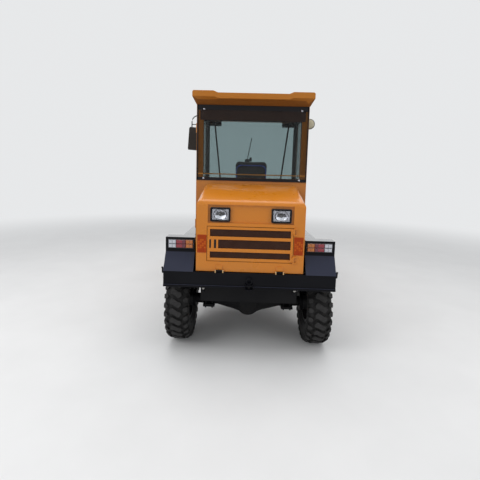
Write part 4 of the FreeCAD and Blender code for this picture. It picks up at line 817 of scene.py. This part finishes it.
def controls():
    """Instrument pod, levers and pedals."""
    bm = bmesh.new()
    tilt = Matrix.Rotation(math.radians(-25), 4, "X")
    pod = at(0.0, 1.640, 1.545)
    block = Matrix.Translation(pod) @ tilt @ Matrix.Diagonal((0.34, 0.08, 0.15, 1))
    bmesh.ops.create_cube(bm, size=1.0, matrix=block)
    face = tilt @ Vector((0, -1, 0))
    for x, rim in ((-0.105, 0.032), (0.0, 0.040), (0.105, 0.032)):
        spot = pod + tilt @ Vector((x, -0.040, 0.012))
        bezel = [(-0.002, 0), (-0.002, rim), (0.006, rim), (0.006, rim - 0.004), (0.002, rim - 0.004)]
        add_turned(bm, bezel, spot, face, 28, 1)
        add_turned(bm, [(0.002, rim - 0.003), (0.0021, 0.0)], spot, face, 28, 2)
        hub = spot + face * 0.003
        add_tube(bm, [hub, hub + tilt @ Vector((rim * 0.5, 0, rim * 0.5))], 0.0012, 6, 3)
    for x in (-0.14, -0.07, 0.07, 0.14):
        spot = pod + tilt @ Vector((x, -0.040, -0.050))
        add_turned(bm, [(-0.001, 0.007), (0.012, 0.006), (0.014, 0.0)], spot, face, 12, 1)
    mats = "plastic_black steel dial knob_red"
    soften(piece("instrument_pod", bm, mats, "rear_unit"), 0.004, 60)
    bm = bmesh.new()
    boot = [(0.0, 0.0), (0.0, 0.032), (0.02, 0.028), (0.05, 0.012), (0.05, 0.0)]
    knob = [(-0.02, 0.0), (-0.018, 0.012), (0.0, 0.019), (0.016, 0.017), (0.026, 0.0)]
    levers = [(0.30, 1.30, 0.42, 0.03), (0.36, 1.30, 0.38, 0.02), (-0.30, 1.42, 0.30, -0.02)]
    for x, s, tall, lean in levers:
        foot = at(x, s, 1.010)
        top = foot + Vector((lean, 0.02, tall))
        add_turned(bm, boot, foot, Z, 20, 1)
        add_tube(bm, [foot, foot.lerp(top, 0.5) + X * lean * 0.4, top], 0.006, 10, 0)
        add_turned(bm, knob, top, Z, 20, 2)
    for x in (-0.17, 0.13, 0.21):
        foot = at(x, 1.66, 1.012)
        pad = at(x, 1.60, 1.14)
        add_tube(bm, [foot, foot + Vector((0, 0.01, 0.07)), pad], 0.007, 8, 1)
        add_box(bm, (x - 0.035, 1.585, 1.115), (x + 0.035, 1.600, 1.170), 1)
    mats = "steel rubber_black knob_red"
    piece("levers_and_pedals", bm, mats, "rear_unit")


# The upholstery starts from its solid at this share of its size, in voxels of this edge
PAD_START = 0.965
PAD_VOXEL = 0.006
PAD_FRAMES = 20


def evaluated(o):
    return bpy.data.meshes.new_from_object(o.evaluated_get(bpy.context.evaluated_depsgraph_get()))


def stuffed(node, name, cap):
    """A padded copy of a solid: remeshed, blown up by up to cap as cloth, and smoothed."""
    src = frame["nodes"][node]
    o = bpy.data.objects.new(name, src.data.copy())
    bpy.context.scene.collection.objects.link(o)
    o.data.transform(src.matrix_world)
    o.data.materials.clear()
    o.data.materials.append(MAT["seat_fabric"])
    middle = sum((v.co for v in o.data.vertices), Vector()) / len(o.data.vertices)
    for v in o.data.vertices:
        v.co = middle + (v.co - middle) * PAD_START
    mesh_again = o.modifiers.new("remesh", "REMESH")
    mesh_again.mode = "VOXEL"
    mesh_again.voxel_size = PAD_VOXEL
    o.data = evaluated(o)
    o.modifiers.clear()
    rest = [v.co.copy() for v in o.data.vertices]
    cloth = o.modifiers.new("cloth", "CLOTH")
    cloth.settings.quality = 5
    cloth.settings.use_pressure = True
    cloth.settings.uniform_pressure_force = 4.0
    cloth.settings.effector_weights.gravity = 0.0
    for n in range(PAD_FRAMES):
        bpy.context.scene.frame_set(n + 1)
    blown = evaluated(o)
    o.modifiers.clear()
    bpy.context.scene.frame_set(1)
    for v, start, end in zip(o.data.vertices, rest, blown.vertices):
        move = end.co - start
        v.co = start + move * min(1.0, cap / max(move.length, 1e-9))
    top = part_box(node)[1].z + 0.004
    for v in o.data.vertices:
        v.co.z = min(v.co.z, top)
    o.modifiers.new("smooth", "SUBSURF").levels = 1
    for p in o.data.polygons:
        p.use_smooth = True
    return o


def seat():
    cushion = stuffed("seat_cushion", "seat_pad", 0.010)
    back = stuffed("seat_back", "seat_rest", 0.009)
    for o, node in ((cushion, "seat_cushion"), (back, "seat_back")):
        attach(o, "rear_unit")
        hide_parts(node)
    # The piping follows the puffed back: rays from outside find where each of its points lies
    skin = BVHTree.FromObject(back, bpy.context.evaluated_depsgraph_get())
    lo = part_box("seat_back")[0]
    lean = math.radians(10)
    up = Vector((0, -math.sin(lean), math.cos(lean)))
    out = Vector((0, math.cos(lean), math.sin(lean)))
    foot = Vector((0, lo.y + 0.087, lo.z))
    half, base, tall, corner = 0.176, 0.05, 0.455, 0.06
    points = [(-half, base + (tall - corner - base) * k / 8) for k in range(9)]
    for k in range(1, 9):
        t = math.radians(180 - 90 * k / 8)
        points.append((-half + corner + corner * math.cos(t), tall - corner + corner * math.sin(t)))
    points += [(-a, b) for a, b in points[::-1]]
    bm = bmesh.new()
    for reach, side in ((0.0, -1), (0.074, 1)):
        line = []
        for a, b in points:
            spot = foot + X * a + up * b + out * reach
            hit = skin.ray_cast(spot + out * side * 0.06, out * -side, 0.075)[0]
            line.append((hit or spot) + out * side * 0.002)
        add_tube(bm, line, 0.0065, 10)
    piece("seat_piping", bm, "seat_blue", "rear_unit")
    bm = bmesh.new()
    lo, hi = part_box("seat_cushion")
    mid = (lo + hi) / 2
    ring = [Vector((mid.x + a, mid.y + b, hi.z - 0.012)) for a, b in rounded(0.213, 0.200, 0.04, 8)]
    add_tube(bm, ring, 0.005, 8, closed=True)
    add_pair(bm, (0.213, 1.10, 1.310), (0.240, 1.42, 1.352), 1)
    bar = [(0.16, 1.47, 1.338), (0.16, 1.50, 1.336), (-0.16, 1.50, 1.336), (-0.16, 1.47, 1.338)]
    add_rod(bm, bar, 0.005, 8, 1)
    piece("seat_trim", bm, "seat_blue plastic_black", "rear_unit")


lining()
controls()
seat()


# Lamps


# Half a headlamp's width and its bezel's rim
LAMP_HALF = 0.0925
LAMP_RIM = 0.016
# The reflector's bowl: radii of its rings, its widening sideways, half its height, its depth and its facets'
BOWL_RADII = (0.004, 0.010, 0.018, 0.026, 0.034, 0.040, 0.046, 0.052)
BOWL_WIDE = 1.22
BOWL_HALF_Z = 0.0475
BOWL_DEEP = 0.0185
FACET_DEEP = 0.0012
SPOKES = 48


def bowl_painted_reflections(across, up):
    """Painted reflections: a painted highlight low in the bowl, a painted dark reflection in its middle, and
    plain chrome round them.
    """
    if across < 0.046 and -0.038 < up < -0.008:
        return 3
    return 4 if across < 0.040 and -0.008 < up < 0.024 else 1


def headlamp_units():
    """Bezel, stepped reflector with a round bowl, bulb shield and clear front."""
    lo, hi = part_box("headlamps")
    s0, s1 = lo.y - REAR, hi.y - REAR
    half_z = (hi.z - lo.z) / 2
    z = (hi.z + lo.z) / 2
    in_x, in_z = LAMP_HALF - LAMP_RIM, half_z - LAMP_RIM
    bm = bmesh.new()
    for side in BOTH:
        x = side * (hi.x - LAMP_HALF)
        place = lambda a, b, s: at(x + a, s, z + b)
        outer = rounded(LAMP_HALF, half_z, 0.014)
        inner = rounded(in_x, in_z, 0.008)
        lip = rounded(LAMP_HALF - 0.004, half_z - 0.004, 0.012)
        bezel = [(outer, s1), (outer, s0 + 0.004), (lip, s0), (inner, s0 + 0.001), (inner, s0 + 0.014)]
        add_skin(bm, [[bm.verts.new(place(a, b, s)) for a, b in ring] for ring, s in bezel])
        # A flat field that dishes into a bowl, with radial facets
        grid = []
        for r in BOWL_RADII:
            share = r / BOWL_RADII[-1]
            deep = BOWL_DEEP * (1 - share ** 2)
            ring = []
            for k, t in enumerate(circle(SPOKES)):
                facet = FACET_DEEP * (k % 2) * share
                up = max(-BOWL_HALF_Z, min(BOWL_HALF_Z, r * math.sin(t)))
                ring.append(bm.verts.new(place(r * BOWL_WIDE * math.cos(t), up, s0 + 0.0045 + deep + facet)))
            grid.append(ring)
        for f in add_skin(bm, grid):
            mid = f.calc_center_median()
            f.material_index = bowl_painted_reflections(abs(mid.x - x), mid.z - z)
        edge = rounded(in_x, in_z, 0.008, SPOKES // 4 - 1)
        field = [bm.verts.new(place(a, b, s0 + 0.0080)) for a, b in edge]
        for f in add_skin(bm, [grid[-1], field]):
            f.material_index = 1
        # The bulb's shield, and an arc on each side of the bowl
        shield = [(-0.004, 0.0), (-0.003, 0.012), (0.006, 0.014), (0.010, 0.014)]
        add_turned(bm, shield, at(x, s0 + 0.008, z), S, 28, 2)
        for start in (-60, 120):
            arc = [math.radians(start + 10 * k) for k in range(13)]
            line = [place(0.058 * math.cos(t), 0.048 * math.sin(t), s0 + 0.0065) for t in arc]
            add_tube(bm, line, 0.0034, 6)
    mats = "headlamp chrome dial chrome_bright chrome_dark"
    piece("headlamp_units", bm, mats, "hood", replaces=["headlamps"])
    bm = bmesh.new()
    for side in BOTH:
        x = side * (hi.x - LAMP_HALF)
        outline = rounded(in_x + 0.001, in_z + 0.001, 0.008)
        add_slab(bm, outline, lambda a, b: at(x + a, s0 + 0.0005, z + b), S * 0.0016)
    front = piece("headlamp_glass", bm, "lens_clear", "hood")
    front.visible_shadow = False


# Cells moulded on the lenses: inner edge, outer edge and material
CELLS = (
    (0.541, 0.568, 0), (0.573, 0.602, 0), (0.609, 0.634, 1),
    (0.639, 0.693, 2), (0.701, 0.730, 3), (0.735, 0.764, 3),
)


def tail_lenses():
    """Screws and moulded cells on the tail lamps' lenses."""
    lo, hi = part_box("tail_lamps")
    middle = (lo.z + hi.z) / 2
    screw = [(0.0, 0.0), (0.0, 0.003), (0.0012, 0.0026), (0.0012, 0.0)]
    bm = bmesh.new()
    for x in (0.5355, 0.7705):
        for side in BOTH:
            add_turned(bm, screw, at(side * x, 0.092, middle), -S, 12)
    piece("lamp_screws", bm, "steel", "rear_unit")
    s0, s1 = lo.y - REAR - 0.0012, lo.y - REAR + 0.001
    bm = bmesh.new()
    for inner, outer, index in CELLS:
        for z in (middle - 0.033, middle + 0.006):
            add_pair(bm, (inner, s0, z), (outer, s1, z + 0.027), index)
    mats = "cell_amber cell_violet cell_red cell_white"
    soften(piece("lens_cells", bm, mats, "rear_unit"), 0.0015)


def reflectors():
    """Generic reflector patches: a grid of raised cells on the plates at the hood's sides."""
    lo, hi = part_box("side_reflectors")
    wide, margin = 0.084, 0.004
    columns, rows = 4, 9
    step_x = (wide - 2 * margin) / columns
    step_z = (hi.z - lo.z - 2 * margin) / rows
    half_x, half_z = 0.42 * step_x, 0.42 * step_z
    s0, s1 = lo.y - REAR - 0.0009, lo.y - REAR + 0.0005
    bm = bmesh.new()
    for i in range(columns):
        for j in range(rows):
            x = hi.x - wide + margin + step_x * (i + 0.5)
            z = lo.z + margin + step_z * (j + 0.5)
            bright = 1 if 2 <= j <= 6 and (i + j) % 3 else 0
            add_pair(bm, (x - half_x, s0, z - half_z), (x + half_x, s1, z + half_z), bright)
    piece("reflector_cells", bm, "reflector_red reflector_orange", "hood")


def roof_lamps():
    """White lenses and amber end lenses on the lamps over the windscreen."""
    lo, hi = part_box("front_lamps")
    rear, front = lo.y - REAR, hi.y - REAR
    outline = rounded(0.070, 0.027, 0.008)
    bm = bmesh.new()
    for side in BOTH:
        add_slab(bm, outline, lambda a, b: at(side * 0.519 + a, front - 0.0005, 2.515 + b), S * 0.003)
    add_pair(bm, (0.548, rear - 0.003, 2.492), (0.598, rear + 0.009, 2.538), 1)
    mats = "lens_white lens_amber"
    soften(piece("roof_lamp_lenses", bm, mats, "rear_unit"), 0.002)


headlamp_units()
tail_lenses()
reflectors()
roof_lamps()


# Grille, hood and bumper fittings


def grille():
    """Fine welded wire behind the slots, over a dust screen."""
    lo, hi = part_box("grille_mesh")
    s = lo.y - REAR
    pitch, wire = 0.0055, 0.0009
    bm = bmesh.new()
    across = int((hi.x - lo.x) / pitch)
    for i in range(across):
        x = lo.x + pitch * (i + 0.5)
        add_box(bm, (x - wire, s + 0.0002, lo.z), (x + wire, s + 0.0016, hi.z))
    up = int((hi.z - lo.z) / pitch)
    for j in range(up):
        z = lo.z + pitch * (j + 0.5)
        add_box(bm, (lo.x, s + 0.0014, z - wire), (hi.x, s + 0.0028, z + wire))
    add_box(bm, (lo.x, s + 0.0030, lo.z), (hi.x, s + 0.0036, hi.z), 1)
    mats = "mesh_black trim_brown"
    piece("grille_wire", bm, mats, "grille_door", replaces=["grille_mesh"])


def hood_fittings():
    """Rubber pulls on the hood's sides."""
    bm = bmesh.new()
    pull = [(0.0, 0.0), (0.0, 0.016), (0.006, 0.015), (0.008, 0.0)]
    for s in (0.18, 0.66):
        for side in BOTH:
            add_turned(bm, pull, at(side * 0.4985, s, 1.00), X * side, 24)
        add_pair(bm, (0.504, s - 0.012, 0.996), (0.512, s + 0.012, 1.004))
    piece("hood_pulls", bm, "rubber_black", "hood")


def bumper_fittings():
    """Corner hooks, end bolts and the bolts over the lashing eyes."""
    bm = bmesh.new()
    for side in BOTH:
        x = side * 0.800
        hook = [(0.0, 0.846), (0.013, 0.846), (0.016, 0.862), (0.016, 0.892), (0.022, 0.900), (0.010, 0.903),
                (0.006, 0.892), (0.006, 0.866), (0.0, 0.866)]
        add_slab(bm, hook, lambda a, b: at(x + side * a, 0.020, b), S * 0.022)
        add_bolt(bm, at(x, 0.030, 0.738), X * side, 0.008, 1)
        add_bolt(bm, at(side * 0.425, 0.017, 0.712), -S, 0.008, 1)
        for s in (0.030, 0.070):
            add_bolt(bm, at(side * 0.62, s, 0.723), -Z, 0.007, 0)
    # A thin strip on the bumper's lower hem, in the black whose blue is a painted sky reflection
    add_box(bm, (-0.788, -0.0018, 0.7440), (0.788, 0.0005, 0.7475), 2)
    piece("bumper_hooks", bm, "trim_black steel slope_black", "rear_unit")


def axle_pipes():
    """The brake pipe along the rear axle, over the banjo's cover, and the cover's ring of bolts."""
    lo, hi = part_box("rear_axle")
    middle = (lo.z + hi.z) / 2
    cover = lo.y - REAR
    bm = bmesh.new()
    half = [(0.075, 0.354, 0.078), (0.125, 0.415, 0.078), (0.20, 0.447, 0.070), (0.36, 0.457, 0.030)]
    run = [(-x, s, z) for x, s, z in reversed(half)] + half
    add_rod(bm, [(x, s, middle + z) for x, s, z in run], 0.004, 8)
    for k in range(10):
        t = 2 * math.pi * (k + 0.5) / 10
        add_bolt(bm, at(0.100 * math.cos(t), cover + 0.012, middle + 0.100 * math.sin(t)), -S, 0.007, 1)
    piece("axle_fittings", bm, "steel frame_black", "rear_unit")


grille()
axle_pipes()
hood_fittings()
bumper_fittings()


# Mirrors

MIRROR_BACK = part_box("mirrors")[0].y - REAR
MIRROR_FOOT = (0.655, 1.830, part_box("cab_roof")[1].z - 0.032)
# Corners of the left mirror as (x, z)
TALL_MIRROR = [(-0.9180, 2.137), (-0.778, 2.127), (-0.742, 2.450), (-0.897, 2.460)]
ROUND_MIRROR = 0.073
ROUND_MIRROR_AT = (0.824, 2.536)
ARM = 0.0075


def shrunk(outline, share):
    """An outline drawn in towards its middle."""
    n = len(outline)
    a, b = (sum(p[i] for p in outline) / n for i in (0, 1))
    return [(a + (x - a) * share, b + (z - b) * share) for x, z in outline]


def mirror_shells():
    """A tall mirror on the left and a round one on the right, on bent arms from the roof's sides."""
    bm = bmesh.new()
    corners = worn(TALL_MIRROR, 0.06)
    back = MIRROR_BACK
    layers = [(0.965, 0.004), (0.985, 0.0), (1.0, 0.003), (1.0, 0.020), (0.93, 0.036), (0.80, 0.045)]
    rings = [[bm.verts.new(at(x, back + s, z)) for x, z in shrunk(corners, share)] for share, s in layers]
    bm.faces.new(rings[0])
    bm.faces.new(rings[-1][::-1])
    add_skin(bm, rings)
    x, s, z = MIRROR_FOOT
    add_pair(bm, (x - 0.001, s - 0.020, z - 0.020), (x + 0.012, s + 0.020, z + 0.020))
    for side in BOTH:
        for dz in (-0.011, 0.011):
            add_bolt(bm, at(side * (x + 0.012), s, z + dz), X * side, 0.004, 1)
    arm_s = back + 0.0225
    arm = [(-x - 0.008, s, z), (-0.780, arm_s - 0.012, z - 0.012), (-0.828, arm_s - 0.004, z - 0.034),
           (-0.853, arm_s, z - 0.062), (-0.862, arm_s, z - 0.100), (-0.862, arm_s, 2.440)]
    add_rod(bm, arm, ARM, 12)
    stay = [(-0.862, arm_s, 2.497), (-0.740, arm_s - 0.020, 2.496), (-0.621, 1.765, 2.500)]
    add_rod(bm, stay, ARM * 0.8, 10)
    mid_x, mid_z = ROUND_MIRROR_AT
    r = ROUND_MIRROR
    shell = [(0.006, r - 0.008), (0.0, r - 0.005), (0.0, r - 0.001), (0.004, r), (0.014, r),
             (0.028, r * 0.82), (0.038, r * 0.45), (0.041, 0.0)]
    add_turned(bm, shell, at(mid_x, back, mid_z), S, 40)
    arm = [(x + 0.008, s, z), (mid_x - 0.050, arm_s, z - 0.006), (mid_x - 0.014, arm_s + 0.012, z - 0.030),
           (mid_x, arm_s + 0.012, mid_z + 0.010)]
    add_rod(bm, arm, ARM, 12)
    mats = "mirror_housing steel"
    piece("mirror_shells", bm, mats, "rear_unit", replaces=["mirrors"])
    bm = bmesh.new()
    add_slab(bm, shrunk(corners, 0.955), lambda a, b: at(a, back + 0.0028, b), S * 0.0010)
    piece("left_mirror_face", bm, "mirror_face", "rear_unit")
    # The right mirror's face carries a painted reflection, darkened as painted shade
    bm = bmesh.new()
    bulge = [math.radians(9 * k) for k in range(11)]
    arc = [(0.012 * math.cos(t) - 0.004, (r - 0.008) * math.sin(t)) for t in bulge]
    add_turned(bm, arc, at(mid_x, back, mid_z), -S, 40)
    piece("right_mirror_face", bm, "mirror_painted_reflection", "rear_unit")


mirror_shells()


# Stage, light and camera

FLOOR = 60.0
BACKDROP = (0.80, 0.81, 0.82)
STUDIO = (0.86, 0.88, 0.90)
STUDIO_LEVEL = 0.5
FADE_FROM = 3.5
FADE_TO = 12.0


def seen(nodes, links):
    """1 for rays from the camera, and for those mirrored or let through, and 0 for the rest."""
    path = add_node(nodes, "LightPath")
    last = path.outputs["Is Camera Ray"]
    for other in ("Is Glossy Ray", "Is Transmission Ray"):
        either = add_node(nodes, "Math")
        either.operation = "MAXIMUM"
        links.new(last, either.inputs[0])
        links.new(path.outputs[other], either.inputs[1])
        last = either.outputs[0]
    return last


def stage():
    m, nodes, links = material("pale_floor")
    bsdf = shader(nodes, links, Roughness=0.85)
    fac = noise(nodes, links, 1.5, 3.0)
    links.new(ramp(nodes, links, fac, [(0.3, grey(0.70)), (0.8, grey(0.74))]), bsdf.inputs["Base Color"])
    glow = add_node(nodes, "Emission", Color=(*BACKDROP, 1))
    coord = add_node(nodes, "TexCoord")
    length = add_node(nodes, "VectorMath")
    length.operation = "LENGTH"
    links.new(coord.outputs["Object"], length.inputs[0])
    fade = add_node(nodes, "MapRange", From_Min=FADE_FROM, From_Max=FADE_TO)
    fade.interpolation_type = "SMOOTHSTEP"
    links.new(length.outputs["Value"], fade.inputs["Value"])
    share = add_node(nodes, "Math")
    share.operation = "MULTIPLY"
    links.new(fade.outputs["Result"], share.inputs[0])
    links.new(seen(nodes, links), share.inputs[1])
    mix = add_node(nodes, "MixShader")
    links.new(share.outputs[0], mix.inputs[0])
    links.new(bsdf.outputs[0], mix.inputs[1])
    links.new(glow.outputs[0], mix.inputs[2])
    links.new(mix.outputs[0], nodes["Material Output"].inputs["Surface"])
    bm = bmesh.new()
    bmesh.ops.create_grid(bm, x_segments=1, y_segments=1, size=FLOOR)
    mesh = bpy.data.meshes.new("floor")
    bm.to_mesh(mesh)
    bm.free()
    floor = bpy.data.objects.new("floor", mesh)
    floor.data.materials.append(m)
    bpy.context.scene.collection.objects.link(floor)


def world():
    w = bpy.data.worlds.new("studio")
    bpy.context.scene.world = w
    w.use_nodes = True
    nodes, links = w.node_tree.nodes, w.node_tree.links
    light = nodes["Background"]
    light.inputs["Color"].default_value = (*STUDIO, 1)
    light.inputs["Strength"].default_value = STUDIO_LEVEL
    backdrop = add_node(nodes, "Background", Color=(*BACKDROP, 1))
    mix = add_node(nodes, "MixShader")
    links.new(seen(nodes, links), mix.inputs[0])
    links.new(light.outputs[0], mix.inputs[1])
    links.new(backdrop.outputs[0], mix.inputs[2])
    links.new(mix.outputs[0], nodes["World Output"].inputs["Surface"])


def area(name, place, target, size, energy, colour=(1, 1, 1)):
    data = bpy.data.lights.new(name, "AREA")
    data.shape = "RECTANGLE"
    data.size, data.size_y = size
    data.energy = energy
    data.color = colour
    o = bpy.data.objects.new(name, data)
    bpy.context.scene.collection.objects.link(o)
    o.location = place
    o.rotation_euler = (Vector(target) - Vector(place)).to_track_quat("-Z", "Y").to_euler()


CAMERA_PLACE = (-0.0434, -2.8534, 1.7403)
CAMERA_YAW = -0.0197
CAMERA_PITCH = 0.1112
CAMERA_ROLL = 0.0264
FOCAL_PIXELS = 318.0
CENTRE_ROW = 214.0
PICTURE = 480.0
SENSOR = 36.0


def camera():
    data = bpy.data.cameras.new("photo_view")
    data.sensor_width = SENSOR
    data.lens = FOCAL_PIXELS / PICTURE * SENSOR
    data.shift_y = (CENTRE_ROW - PICTURE / 2) / PICTURE
    o = bpy.data.objects.new("photo_view", data)
    bpy.context.scene.collection.objects.link(o)
    cp, sp = math.cos(CAMERA_PITCH), math.sin(CAMERA_PITCH)
    right = Vector((math.cos(CAMERA_YAW), -math.sin(CAMERA_YAW), 0))
    ahead = Vector((math.sin(CAMERA_YAW) * cp, math.cos(CAMERA_YAW) * cp, -sp))
    up = right.cross(ahead)
    c, s = math.cos(CAMERA_ROLL), math.sin(CAMERA_ROLL)
    right, up = c * right + s * up, -s * right + c * up
    turn = Matrix((right, up, -ahead)).transposed()
    o.matrix_world = Matrix.Translation(at(*CAMERA_PLACE)) @ turn.to_4x4()
    bpy.context.scene.camera = o


stage()
world()
area("key", (-6.0, -5.5, 5.0), (0, -0.8, 1.2), (5.0, 4.5), 250.0)
area("fill", (5.5, -4.5, 3.0), (0, -0.8, 1.2), (5.0, 4.0), 85.0)
area("top", (0.0, -0.5, 7.0), (0, 0, 1.0), (9.0, 8.0), 400.0)
camera()
bpy.context.scene.view_settings.view_transform = "Standard"
